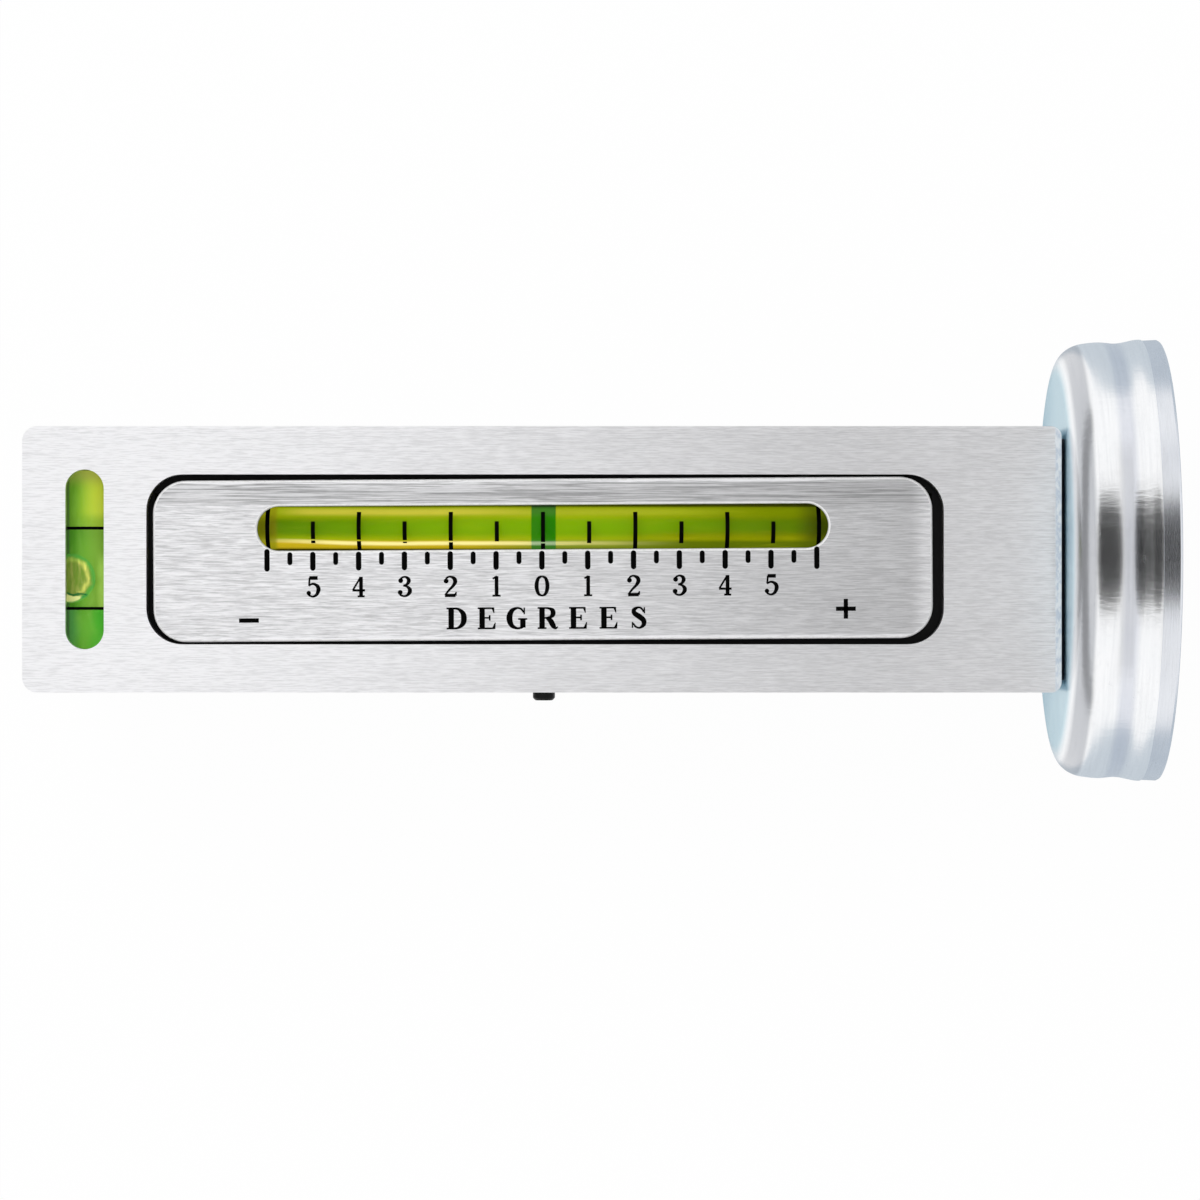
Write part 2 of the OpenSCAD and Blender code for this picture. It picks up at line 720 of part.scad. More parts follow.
module potting_rings() {
  color("black") translate([-ferrite_drop, 0, 0]) from_face() {
    cylinder_ring(magnet_d - 2 * cup_wall, ferrite_d, ferrite_h);
    cylinder_ring(ferrite_bore, pole_d, ferrite_h);
  }
}

module magnet_screw() {
  color("dimgray") translate([-magnet_seat, 0, 0]) from_face() difference() {
    union() {
      translate([0, 0, -magnet_head_h]) cylinder(d = magnet_head_d, h = magnet_head_h);
      cylinder(d = magnet_screw_d, h = magnet_screw_len);
    }
    translate([0, 0, -magnet_head_h - cut]) hex_socket(magnet_socket, magnet_socket_depth + cut);
  }
}

module lock_washer() {
  color("gray") translate([-magnet_seat, 0, 0]) from_face() difference() {
    cylinder_ring(magnet_head_d, magnet_screw_d + 2 * hole_gap, lock_wire);
    translate([0, -lock_split / 2, -cut]) cube([magnet_head_d, lock_split, lock_wire + 2 * cut]);
  }
}

module end_spacer() {
  color("midnightblue") translate([-magnet_h, 0, 0]) from_face() difference() {
    round_block(body_t - 2 * spacer_inset, body_h - 2 * spacer_inset, magnet_corner_r, spacer_t);
    translate([0, 0, -cut]) cylinder(d = magnet_screw_d + 2 * hole_gap, h = spacer_t + 2 * cut);
  }
}

housing();
rear_cover();
cover_screws();
scale_plate();
vial_carrier();
reflector_card();
main_vial_tube();
main_vial_plugs();
main_vial_fluid();
main_bubble();
pivot_pin();
pivot_bushes();
zero_screw();
zero_insert();
zero_spring();
spring_seat();
cross_vial_tube();
cross_vial_plugs();
cross_vial_fluid();
cross_bubble();
cross_reflector();
cross_holder();
cross_pad();
magnet_cup();
ferrite_ring();
pole_bush();
potting_rings();
magnet_screw();
lock_washer();
end_spacer();
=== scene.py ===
"""The looks of a camber caster gauge: a bar with two spirit levels on a round pot magnet.

Everything is in metres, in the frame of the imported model: the origin is the middle of the
magnet's contact face, +X points out of that face and +Z out of the scale face.
"""

import json
import math

import bmesh
import bpy
from mathutils import Matrix, Vector

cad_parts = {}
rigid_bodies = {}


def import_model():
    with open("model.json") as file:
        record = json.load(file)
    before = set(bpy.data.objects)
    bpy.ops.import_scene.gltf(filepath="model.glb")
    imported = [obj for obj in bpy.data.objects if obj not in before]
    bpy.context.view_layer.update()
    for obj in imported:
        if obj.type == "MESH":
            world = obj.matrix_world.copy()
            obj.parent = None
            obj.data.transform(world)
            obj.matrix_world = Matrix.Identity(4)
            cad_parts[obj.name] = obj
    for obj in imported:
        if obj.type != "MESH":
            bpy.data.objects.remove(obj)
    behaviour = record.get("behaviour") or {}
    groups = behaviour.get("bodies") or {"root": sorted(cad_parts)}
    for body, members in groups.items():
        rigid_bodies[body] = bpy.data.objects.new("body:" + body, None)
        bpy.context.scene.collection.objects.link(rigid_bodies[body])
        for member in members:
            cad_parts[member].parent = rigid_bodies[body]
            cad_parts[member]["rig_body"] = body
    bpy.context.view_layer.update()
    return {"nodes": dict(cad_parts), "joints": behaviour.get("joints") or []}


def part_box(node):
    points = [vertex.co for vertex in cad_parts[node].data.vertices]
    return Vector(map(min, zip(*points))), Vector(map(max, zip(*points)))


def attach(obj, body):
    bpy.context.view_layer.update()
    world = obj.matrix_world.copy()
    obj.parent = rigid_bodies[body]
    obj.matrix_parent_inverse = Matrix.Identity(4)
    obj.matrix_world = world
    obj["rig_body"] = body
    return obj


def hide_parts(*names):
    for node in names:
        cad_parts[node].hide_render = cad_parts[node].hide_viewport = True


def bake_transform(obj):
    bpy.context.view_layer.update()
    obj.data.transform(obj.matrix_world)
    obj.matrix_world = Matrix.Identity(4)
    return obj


MM = 0.001

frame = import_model()
scene = bpy.context.scene
joints = {joint["name"]: joint for joint in frame["joints"]}


def middle(node):
    low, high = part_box(node)
    return (low + high) / 2


def span(node):
    low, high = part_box(node)
    return high - low


# Places and sizes taken from the frame
bow_centre = Vector(joints["main_bubble_travel"]["pos_m"])
zero_x = bow_centre.x
vial_y = bow_centre.y
tube_low, tube_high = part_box("main_vial_tube")
tube_r = (tube_high.y - tube_low.y) / 2
bow_r = tube_high.z - tube_r - bow_centre.z
tube_half = math.asin((tube_high.x - tube_low.x) / 2 / (bow_r + tube_r))
plate_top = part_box("scale_plate")[1].z
cross_x, _, cross_z = middle("cross_vial_tube")
cross_r = span("cross_vial_tube").x / 2
cross_len = span("cross_vial_tube").y
cup_r = span("magnet_cup").y / 2
cup_h = span("magnet_cup").x


class Wire:
    """An output of a node. Arithmetic on it adds Math nodes."""

    def __init__(self, graph, socket):
        self.graph = graph
        self.socket = socket

    def math(self, operation, *others):
        values = dict(enumerate((self, *others)))
        return self.graph.add("Math", values, operation=operation)

    def __add__(self, other):
        return self.math("ADD", other)

    def __sub__(self, other):
        return self.math("SUBTRACT", other)

    def __rsub__(self, other):
        return self.graph.add("Math", {0: other, 1: self}, operation="SUBTRACT")

    def __mul__(self, other):
        return self.math("MULTIPLY", other)

    def __truediv__(self, other):
        return self.math("DIVIDE", other)

    def __abs__(self):
        return self.math("ABSOLUTE")

    def __pow__(self, other):
        return self.math("POWER", other)

    __radd__ = __add__
    __rmul__ = __mul__


class Graph:
    """A node tree. add() makes every node in it."""

    def __init__(self, tree):
        self.tree = tree
        tree.nodes.clear()

    def add(self, kind, values=None, output=0, **settings):
        """A node with its settings, then the values or links of its sockets."""
        node = self.tree.nodes.new("ShaderNode" + kind)
        for name, value in settings.items():
            setattr(node, name, value)
        for name, value in (values or {}).items():
            if isinstance(value, Wire):
                self.tree.links.new(value.socket, node.inputs[name])
            else:
                node.inputs[name].default_value = value
        return Wire(self, node.outputs[output]) if len(node.outputs) else None

    def mix(self, factor, first, second):
        return self.add("Mix", {0: factor, 6: first, 7: second}, 2, data_type="RGBA")

    def fade(self, value, start, end, low=0.0, high=1.0):
        """A smooth step of value, from low at start to high at end."""
        values = {0: value, 1: start, 2: end, 3: low, 4: high}
        return self.add("MapRange", values, interpolation_type="SMOOTHSTEP")


class Finish(Graph):
    """A material whose pattern follows the piece's own coordinates in millimetres."""

    def __init__(self, name):
        self.material = bpy.data.materials.new(name)
        self.material.use_nodes = True
        super().__init__(self.material.node_tree)
        metres = self.add("TexCoord", output="Object")
        self.place = self.add("Mapping", {"Vector": metres, "Scale": (1 / MM,) * 3})
        self.x, self.y, self.z = (self.add("SeparateXYZ", {0: self.place}, axis) for axis in "XYZ")

    def noise(self, lengths, detail=2.0, roughness=0.5, distortion=0.0, shift=0.0):
        """Noise from 0 to 1. lengths is the size of its features in mm, or one along each axis."""
        lengths = lengths if isinstance(lengths, tuple) else (lengths,) * 3
        stretch = {
            "Vector": self.place,
            "Location": (shift,) * 3,
            "Scale": tuple(1 / length for length in lengths),
        }
        values = {
            "Vector": self.add("Mapping", stretch),
            "Scale": 1.0,
            "Detail": detail,
            "Roughness": roughness,
            "Distortion": distortion,
        }
        return self.add("TexNoise", values)

    def bump(self, height, strength, distance):
        values = {"Height": height, "Strength": strength, "Distance": distance}
        return self.add("Bump", values)

    def glowing(self, tint, painted_glow_share):
        """A liquid with a painted glow: the given share of its colour is given off as emission, so
        it stays bright where it lies in shade.
        """
        return self.principled(
            Base_Color=tint,
            Roughness=0.3,
            Specular_IOR_Level=0.0,
            Emission_Color=self.mix(painted_glow_share, BLACK, tint),
            Emission_Strength=1.0,
        )

    def surface(self, shader):
        self.add("OutputMaterial", {"Surface": shader})
        return self.material

    def principled(self, **sockets):
        """Names with spaces are written with underscores."""
        values = {name.replace("_", " "): value for name, value in sockets.items()}
        return self.surface(self.add("BsdfPrincipled", values))


def colour(red, green, blue_reflection):
    """A screen colour from 0 to 255 as linear light."""
    linear = []
    for value in (red, green, blue_reflection):
        share = value / 255
        linear.append(share / 12.92 if share <= 0.04045 else ((share + 0.055) / 1.055) ** 2.4)
    return (*linear, 1)


def grey(value):
    return colour(value, value, value)


# Finishes

WHITE = (1, 1, 1, 1)
BLACK = (0, 0, 0, 1)

# How far the plate's long edges rise per mm along the bar
PLATE_SLOPE = 0.0058

# Where the marks of the short vial are along Y, in mm
UPPER_MARK = 4.18
LOWER_MARK = -6.52


def brushed(f, tone, level, swing):
    """Grey metal of that level. Its tone, from 0 to 1, moves the level by a share each way."""
    shade = ((tone - 0.5) * (2 * swing) + 1) * level
    return f.mix(shade, BLACK, colour(253, 253, 255))


def bar_aluminium():
    """Aluminium brushed along the bar in short fine dashes, with a painted highlight on the edge by
    the magnet.

    Painted shade makes the sides and the free end darker than the scale face.
    """
    f = Finish("bar_aluminium")
    dash = f.noise((1.8, 0.16, 0.16), 2, 0.6, 0.2)
    long_dash = f.noise((7, 0.2, 0.2), 2, 0.5, 0.2, 7)
    cloud = f.noise((26, 7, 7), 2, 0.5, 0, 3)
    tone = f.fade(dash, 0.32, 0.68) * 0.5 + f.fade(long_dash, 0.3, 0.7) * 0.3 + cloud * 0.2
    scratch = f.noise((3, 0.09, 0.09), 3, 0.6, 0.2, 11)
    # Painted shade: the level falls along the bar towards the magnet, and a painted reflection of
    # the cup lifts it again near the end.
    level = f.fade(f.x, -135, -45, 0.95, 0.79) + f.fade(f.x, -44, -16, 0.0, 0.115)
    # Painted shade on the faces that turn away from +Z.
    facing = f.add("SeparateXYZ", {0: f.add("TexCoord", output="Normal")}, "Z")
    level = level * f.fade(abs(facing), 0.2, 0.8, 0.74, 1.0)
    # Painted highlight: a mottled near-white edge by the magnet, mostly matt so that it stays
    # bright.
    glint_mottle = f.noise((0.5, 1.1, 1.1), 3, 0.6, 0, 13)
    edge = f.fade(f.x + glint_mottle * 0.6, -15.0, -14.75)
    painted_edge_glint = f.mix(f.fade(glint_mottle, 0.35, 0.65), colour(214, 222, 234), colour(250, 252, 255))
    return f.principled(
        Base_Color=f.mix(edge, brushed(f, tone, level, 0.18), painted_edge_glint),
        Metallic=1 - edge * 0.8,
        Roughness=dash * 0.1 + 0.36,
        Normal=f.bump(scratch, 0.3, 0.00002),
    )


def plate_aluminium():
    """The plate's coarser brushing, with longer wavy strokes above the slot, painted shade growing
    towards the magnet, and painted highlights along its long edges and at its right end.
    """
    f = Finish("plate_aluminium")
    stroke = f.noise((2.4, 0.16, 0.16), 3, 0.6, 0.4)
    long_stroke = f.noise((6, 0.23, 0.23), 2, 0.5, 0.5, 7)
    fine = f.noise((1.3, 0.1, 0.1), 2, 0.6, 0.2, 9)
    cloud = f.noise((20, 6, 6), 2, 0.5, 0, 3)
    wavy = f.noise((12, 0.24, 0.24), 2, 0.5, 1.0, 17)
    upper = f.fade(f.y, 6.9, 7.7)
    short = f.fade(stroke, 0.34, 0.66) * 0.45 + f.fade(long_stroke, 0.35, 0.65) * 0.25
    long = f.fade(wavy, 0.36, 0.6) * 0.5 + f.fade(stroke, 0.34, 0.66) * 0.15
    tone = short + upper * (long - short) + fine * 0.3
    tone = tone + (cloud - 0.5) * 0.15
    dimmed = 1 - upper * f.fade(f.x, -120, -60, 0.25, 0.19)
    # Painted shade: darker towards the magnet; a painted highlight brightens the plate's right end.
    level = f.fade(f.x, -105, -35, 0.81, 0.63) * dimmed + f.fade(f.x, -34.6, -32, 0, 0.22)
    # Painted highlight: a bright band along both long edges, stronger towards the magnet.
    painted_edge_band = f.fade(abs(f.y - (f.x - zero_x / MM) * PLATE_SLOPE), 10.05, 10.35)
    level = level + painted_edge_band * f.fade(f.x, -120, -70, 0.16, 0.32)
    return f.principled(
        Base_Color=brushed(f, tone, level, upper * 0.2 + f.fade(f.x, -110, -50, 0.41, 0.3)),
        Metallic=1.0,
        Roughness=stroke * 0.14 + 0.3,
        Normal=f.bump(stroke, 0.35, 0.00003),
    )


def plain(name, lengths, detail, tones, rough=None, bump=None, **sockets):
    """One noise moves the colour between two tones, adds to the roughness and lifts the bump.

    detail is the noise's detail and roughness, rough the lowest roughness and the noise's share.
    """
    f = Finish(name)
    grain = f.noise(lengths, *detail)
    if rough:
        sockets["Roughness"] = grain * rough[1] + rough[0]
    if bump:
        sockets["Normal"] = f.bump(grain, *bump)
    return f.principled(Base_Color=f.mix(grain, *tones), **sockets)


def milled_edge_painted_highlight():
    """The rounded edge that milling leaves on the aluminium, with a painted highlight: near-white
    and mostly matt, so it is bright whatever it reflects.
    """
    f = Finish("milled_edge_painted_highlight")
    nicks = f.noise(0.8, 3, 0.6)
    return f.principled(
        Base_Color=f.mix(f.fade(nicks, 0.3, 0.6), grey(236), grey(252)),
        Metallic=0.2,
        Roughness=nicks * 0.2 + 0.22,
        Normal=f.bump(nicks, 0.2, 0.00002),
    )


def black_oxide():
    f = Finish("black_oxide")
    mottle = f.noise(0.9, 4, 0.6)
    rub = f.fade(f.noise((0.3, 0.3, 2), 3, 0.7, 0, 5), 0.6, 0.8)
    return f.principled(
        Base_Color=f.mix(rub, f.mix(mottle, grey(14), grey(34)), grey(70)),
        Metallic=0.85,
        Roughness=mottle * 0.25 + 0.3,
        Normal=f.bump(mottle, 0.25, 0.00002),
    )


def black_nickel():
    f = Finish("black_nickel")
    mottle = f.noise(1.2, 3, 0.6)
    wear = f.fade(f.noise(0.4, 4, 0.7, 0, 9), 0.62, 0.75)
    return f.principled(
        Base_Color=f.mix(wear, f.mix(mottle, grey(58), grey(84)), grey(150)),
        Metallic=1.0,
        Roughness=mottle * 0.2 + 0.22,
        Normal=f.bump(mottle, 0.15, 0.00002),
    )


def grainy(name, grain, patch, tones, rough, **sockets):
    """Two tones in wide patches, under a fine grain that the roughness and the bump follow."""
    f = Finish(name)
    sand = f.noise(*grain)
    return f.principled(
        Base_Color=f.mix(f.noise(*patch), *tones),
        Roughness=sand * rough[1] + rough[0],
        Normal=f.bump(sand, 0.5, 0.00005),
        **sockets,
    )


def turned_brass():
    f = Finish("turned_brass")
    turning = (f.y * 16).math("SINE")
    stain = f.noise(1.5, 3, 0.6)
    return f.principled(
        Base_Color=f.mix(stain, colour(196, 158, 84), colour(226, 194, 120)),
        Metallic=1.0,
        Roughness=stain * 0.2 + 0.2,
        Normal=f.bump(turning, 0.1, 0.00002),
    )


def zinc_cup():
    """Bright zinc plate with painted reflections: a blue cast on the back face, a grey band on the
    corner and a lilac cast in the waist.
    """
    f = Finish("zinc_cup")
    radius = (f.y * f.y + f.z * f.z) ** 0.5
    cloud = f.noise((9, 7, 7), 3, 0.55)
    spin = f.noise((0.4, 12, 12), 3, 0.6, 0, 2)
    grit = f.noise((0.6, 1.2, 1.2), 4, 0.65, 0, 6)
    ridge = f.noise((7, 0.9, 0.9), 3, 0.6, 0.3, 8)
    bright = f.mix(cloud, colour(249, 251, 253), colour(254, 254, 255))
    # Painted reflection: a lilac cast in the waist.
    lilac_reflection = f.mix(cloud, colour(222, 225, 234), colour(238, 240, 245))
    flank = f.mix(f.fade(abs(f.x + 6.6), 0.5, 1.6), lilac_reflection, bright)
    # Painted reflection: a blue cast on the back face.
    blue_reflection = f.mix(cloud, colour(162, 205, 222), colour(192, 223, 232))
    tint = f.mix(f.fade(radius, 25.0, 27.4), blue_reflection, flank)
    # Painted reflection: a grey band on the corner.
    corner_reflection = 1 - f.fade(abs(f.x + 12.2), 0.75, 1.35)
    tint = f.mix(corner_reflection * 0.55, tint, colour(150, 154, 164))
    tint = f.mix(f.fade(spin, 0.35, 0.75) * 0.08, tint, colour(150, 156, 170))
    return f.principled(
        Base_Color=f.mix(f.fade(grit, 0.55, 0.8) * 0.1, tint, colour(120, 126, 140)),
        Metallic=1.0,
        Roughness=spin * 0.06 + grit * 0.07 + 0.19,
        Normal=f.bump(ridge * 7 + spin * 0.7 + grit * 0.3, 0.2, 0.00002),
    )


def ground_rim():
    """The band by the contact face, ground across after plating."""
    f = Finish("ground_rim")
    lines = f.noise((0.08, 5, 5), 3, 0.6)
    cloud = f.noise((6, 8, 8), 2, 0.5, 0, 4)
    tint = f.mix(cloud, colour(216, 220, 228), colour(244, 246, 250))
    return f.principled(
        Base_Color=f.mix(f.fade(lines, 0.4, 0.8) * 0.15, tint, grey(140)),
        Metallic=1.0,
        Roughness=lines * 0.1 + 0.21,
        Normal=f.bump(lines, 0.12, 0.00003),
    )


def cast_resin():
    f = Finish("cast_resin")
    ripple = f.noise(4, 2, 0.5)
    dust = f.fade(f.noise(0.3, 3, 0.6, 0, 4), 0.6, 0.8)
    return f.principled(
        Base_Color=f.mix(dust * 0.4, grey(12), grey(80)),
        Roughness=ripple * 0.2 + 0.16,
        Normal=f.bump(ripple, 0.4, 0.0001),
    )


def foam_rubber():
    f = Finish("foam_rubber")
    cells = f.add("TexVoronoi", {"Vector": f.place, "Scale": 2.2}, "Distance")
    return f.principled(
        Base_Color=f.mix(f.fade(cells, 0.1, 0.7), grey(12), grey(48)),
        Roughness=0.9,
        Normal=f.bump(cells, 0.8, 0.0002),
    )


def clear_acrylic():
    """A clear shell: it lets what is inside show and adds a gloss at grazing angles."""
    f = Finish("clear_acrylic")
    haze = f.noise((6, 2, 2), 2, 0.5)
    gloss = f.add("BsdfGlossy", {"Color": WHITE, "Roughness": 0.03})
    clear = f.add("BsdfTransparent", {"Color": WHITE})
    edge = f.add("Fresnel", {"IOR": 1.12})
    return f.surface(f.add("MixShader", {0: edge * (haze * 0.3 + 0.5), 1: clear, 2: gloss}))


def main_liquid(half_width, half_length):
    """Green liquid as the tube shows it in the slot, whose half width and length these are.

    Painted light: gold along both sides, a painted highlight line, painted shade along its edges and
    towards its right end, and a dark teal band at zero.
    """
    f = Finish("main_liquid")
    along = f.x - zero_x / MM
    ripple = (f.noise((14, 30, 30), 2, 0.5) - 0.5) * 0.05
    across = (f.y - vial_y / MM) / (2 * half_width) + ripple
    off = abs(across)
    left_part = 1 - f.fade(along, -14, 3)
    far_part = f.fade(along, 4, 34)

    core = f.mix(f.fade(along, -34, -10), colour(106, 150, 4), colour(124, 168, 3))
    core = f.mix(far_part, core, colour(100, 134, 2))
    # Painted light: the sides turn gold, and a painted glow lights the lower side on the right.
    side = f.mix(far_part, colour(150, 168, 12), colour(118, 134, 4))
    body = f.mix(f.fade(off, 0.1, 0.27), core, side)
    low_glow = (1 - f.fade(across, -0.2, -0.04)) * f.fade(along, 8, 20)
    body = f.mix(low_glow * 0.8, body, colour(140, 146, 4))

    # Painted light: gold bands along the upper and the lower side.
    upper = (1 - f.fade(abs(across - 0.35), 0.02, 0.12)) * f.fade(along, -37, -31)
    upper = upper * (1 - f.fade(along, 10, 30))
    body = f.mix(upper, body, f.mix(left_part, colour(162, 172, 36), colour(196, 190, 62)))
    lower = 1 - f.fade(across, -0.34, -0.24)
    olive = f.mix(f.fade(along, 5, 22), colour(130, 143, 38), colour(92, 108, 8))
    body = f.mix(lower, body, f.mix(left_part, olive, colour(196, 170, 28)))
    streak = f.noise((9, 0.5, 0.5), 3, 0.6, 0.3, 5)
    body = f.mix(f.fade(streak, 0.5, 0.75) * 0.25, body, colour(170, 170, 24))

    # Painted highlight: a bright line along the lower side, strongest on the left.
    gleam_at = -0.35 + (1 - f.fade(along, -38, -24)) * 0.06
    gleam = 1 - f.fade(abs(across - gleam_at), 0.012, 0.065)
    shine = f.fade(along, -38, -26, 0.25, 0.95) * (1 - f.fade(along, -12, 20))
    body = f.mix(gleam * shine, body, colour(252, 238, 156))
    # Painted shade: darker along the upper and lower edges of the slot.
    body = f.mix(f.fade(across, 0.42, 0.5) * 0.8, body, colour(92, 98, 8))
    body = f.mix(1 - f.fade(across, -0.51, -0.43), body, colour(62, 66, 6))

    left_cap = 1 - f.fade(along, 1.9 - half_length, 2.6 - half_length)
    body = f.mix(left_cap * 0.85, body, colour(146, 144, 20))
    # Painted shade: darker towards the right end of the slot.
    body = f.mix(f.fade(along, half_length - 5, half_length - 1.2) * 0.85, body, colour(78, 88, 10))

    # A dark teal band at zero, crossed by the painted highlight line and with painted shade along
    # its upper edge.
    band = 1 - f.fade(abs(along - 0.05), 1.56, 1.72)
    teal = f.mix(f.fade(along, -1.3, 0.9), colour(40, 126, 12), colour(24, 123, 5))
    teal = f.mix(f.fade(off, 0.2, 0.36), teal, colour(52, 118, 38))
    teal = f.mix(f.fade(across, 0.4, 0.5), teal, colour(34, 66, 30))
    teal = f.mix(gleam * 0.7, teal, colour(176, 196, 160))
    tint = f.mix(band * 0.95, body, teal)
    # A painted glow gives off part of the colour, more towards the sides.
    return f.glowing(tint, f.fade(off, 0.08, 0.4, 0.3, 0.88))


def cross_liquid():
    """Green liquid of the short vial, its colour painted with light. Its printed marks part three
    shades.
    """
    f = Finish("cross_liquid")
    centre_x = cross_x / MM
    across = f.x - centre_x + (f.noise((9, 3, 9), 2, 0.5) - 0.5) * 0.8
    # Painted light: the upper and middle parts grow lighter towards +X.
    upper = f.mix(f.fade(across, -2.2, 2.0), colour(112, 170, 46), colour(192, 206, 62))
    upper = f.mix((1 - f.fade(f.y, 5.0, 6.6)) * 0.6, upper, colour(112, 164, 46))
    upper = f.mix(f.fade(f.y, 9.4, 11.6) * 0.6, upper, colour(176, 176, 84))
    centre = f.mix(f.fade(across, -2.4, 2.0), colour(82, 150, 40), colour(122, 168, 58))
    # Painted highlight: a lime patch on the +X side of the middle part.
    lime = f.fade(across, 1.1, 2.1) * (1 - f.fade(f.y, -1.2, 1.6))
    centre = f.mix(lime, centre, colour(164, 208, 88))
    lower = f.mix(f.fade(across, -2.3, -0.6), colour(86, 160, 76), colour(96, 164, 50))
    lower = f.mix(f.fade(across, -0.2, 2.0), lower, colour(78, 182, 52))
    tint = f.mix(f.fade(f.y - UPPER_MARK, -0.08, 0.08), centre, upper)
    tint = f.mix(1 - f.fade(f.y - LOWER_MARK, -0.08, 0.08), tint, lower)
    swirl = f.noise((1.6, 5, 5), 3, 0.6, 0.6)
    tint = f.mix(f.fade(swirl, 0.45, 0.8) * 0.2, tint, colour(160, 204, 92))
    # Painted shade darkens the slot's sides, and a painted glow gives off part of the colour.
    edge = f.fade(abs(f.x - centre_x), 2.42, 2.6)
    return f.glowing(f.mix(edge * 0.55, tint, colour(72, 84, 66)), 0.42)


def cross_bubble_glow(centre_x, centre_y, radius):
    """The bubble of the short vial, painted with light: an olive heart inside a painted bright
    crescent, and a dark hook of painted shade.
    """
    f = Finish("cross_bubble_glow")
    swirl = (f.noise(2.1, 2, 0.5, 0.6) - 0.5) * 0.3
    u = (f.x - centre_x) / radius
    v = (f.y - centre_y) / radius
    away = (u * u + v * v) ** 0.5 + swirl
    strand = f.fade(f.noise((0.5, 2.8, 2.8), 3, 0.6, 0.5), 0.42, 0.66)
    glow = f.mix(strand * 0.7, colour(112, 142, 52), colour(160, 168, 84))
    # Painted highlights: a crown along the top and a crescent on the +X side.
    crown = (1 - f.fade(abs(away - 0.8), 0.06, 0.2)) * f.fade(v, 0.2, 0.6)
    glow = f.mix(crown * (strand * 0.45 + 0.35), glow, colour(172, 202, 84))
    crescent = (1 - f.fade(abs(away - 0.68), 0.0, 0.17)) * f.fade(u, 0.1, 0.6)
    glow = f.mix(crescent * (strand * 0.4 + 0.5), glow, colour(222, 220, 110))
    glow = f.mix(f.fade(away, 0.76, 0.92), glow, colour(84, 156, 60))
    glow = f.mix(f.fade(away, 0.96, 1.02) * 0.7, glow, colour(118, 180, 66))
    # Painted light under the bubble, and a dark hook of painted shade along its lower edge.
    hook = v + u * 0.1 + swirl + 0.6
    under = 1 - f.fade(hook, -0.1, -0.02)
    light = f.mix(f.fade(u + swirl, 0.35, 0.5), colour(230, 234, 150), colour(58, 142, 66))
    glow = f.mix(under * (1 - f.fade(away, 0.9, 0.98)), glow, light)
    reach = f.fade(u, -0.35, -0.15) * (1 - f.fade(u, 0.62, 0.72))
    dark = (1 - f.fade(abs(hook), 0.02, 0.07)) * reach
    # A painted glow gives off part of the colour.
    return f.glowing(f.mix(dark * 0.9, glow, colour(22, 104, 52)), 0.5)


# Mesh making

ALONG_BAR = Vector((1, 0, 0))
ACROSS_BAR = Vector((0, 1, 0))
UP = Vector((0, 0, 1))
SAME_POINT = 0.0002 * MM
FLAT_ANGLE = math.radians(0.2)
BEVEL_ANGLE = math.radians(35)


def mesh_from(bm, name, turn_out=True):
    """The mesh of bm, with its faces turned outwards."""
    if turn_out:
        bmesh.ops.recalc_face_normals(bm, faces=bm.faces)
    mesh = bpy.data.meshes.new(name)
    bm.to_mesh(mesh)
    bm.free()
    return mesh


def take_in(bm, mesh):
    """Moves a mesh into bm."""
    bm.from_mesh(mesh)
    bpy.data.meshes.remove(mesh)


def bridge(bm, one, two):
    """Faces between two rings of as many points."""
    for i in range(len(one)):
        j = (i + 1) % len(one)
        bm.faces.new((one[i], one[j], two[j], two[i]))


def fan(bm, tip, ring):
    """Faces between a point and the ring round it."""
    for i in range(len(ring)):
        bm.faces.new((tip, ring[i], ring[(i + 1) % len(ring)]))


def new_object(name, mesh, materials, smooth_angle=30):
    mesh.polygons.foreach_set("use_smooth", [True] * len(mesh.polygons))
    mesh.set_sharp_from_angle(angle=math.radians(smooth_angle))
    for material in materials:
        mesh.materials.append(material)
    thing = bpy.data.objects.new(name, mesh)
    scene.collection.objects.link(thing)
    return thing


def ride_with(piece, node):
    """The piece moves with the node's body."""
    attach(piece, frame["nodes"][node]["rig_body"])
    return piece


def add_piece(name, mesh, node, materials, smooth_angle=30):
    """A piece that stands for a node of the frame."""
    piece = ride_with(new_object(name, mesh, materials, smooth_angle), node)
    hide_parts(node)
    return piece


def add_print(name, bm, node):
    """Ink on a node of the frame."""
    return ride_with(new_object(name, mesh_from(bm, name), [ink]), node)


def bevelled(name, node, materials, width, segments=2):
    """A copy of the CAD solid with its edges rounded. A second material goes on the edges."""
    bm = bmesh.new()
    bm.from_mesh(frame["nodes"][node].data)
    bmesh.ops.remove_doubles(bm, verts=bm.verts, dist=SAME_POINT)
    bmesh.ops.dissolve_limit(bm, angle_limit=FLAT_ANGLE, verts=bm.verts, edges=bm.edges)
    piece = add_piece(name, mesh_from(bm, name, turn_out=False), node, materials)
    bevel = piece.modifiers.new("rounded_edges", "BEVEL")
    bevel.width = width * MM
    bevel.segments = segments
    bevel.limit_method = "ANGLE"
    bevel.angle_limit = BEVEL_ANGLE
    bevel.harden_normals = True
    if len(materials) > 1:
        bevel.material = 1
    return piece


def closed_skin(name, rows, loop=False):
    """A skin over rows of points, each row a ring. Its ends are closed, or a loop joins them."""
    bm = bmesh.new()
    rings = [[bm.verts.new(point) for point in row] for row in rows]
    for one, two in zip(rings, rings[1:]):
        bridge(bm, one, two)
    if loop:
        bridge(bm, rings[-1], rings[0])
    else:
        bm.faces.new(rings[0][::-1])
        bm.faces.new(rings[-1])
    return mesh_from(bm, name)


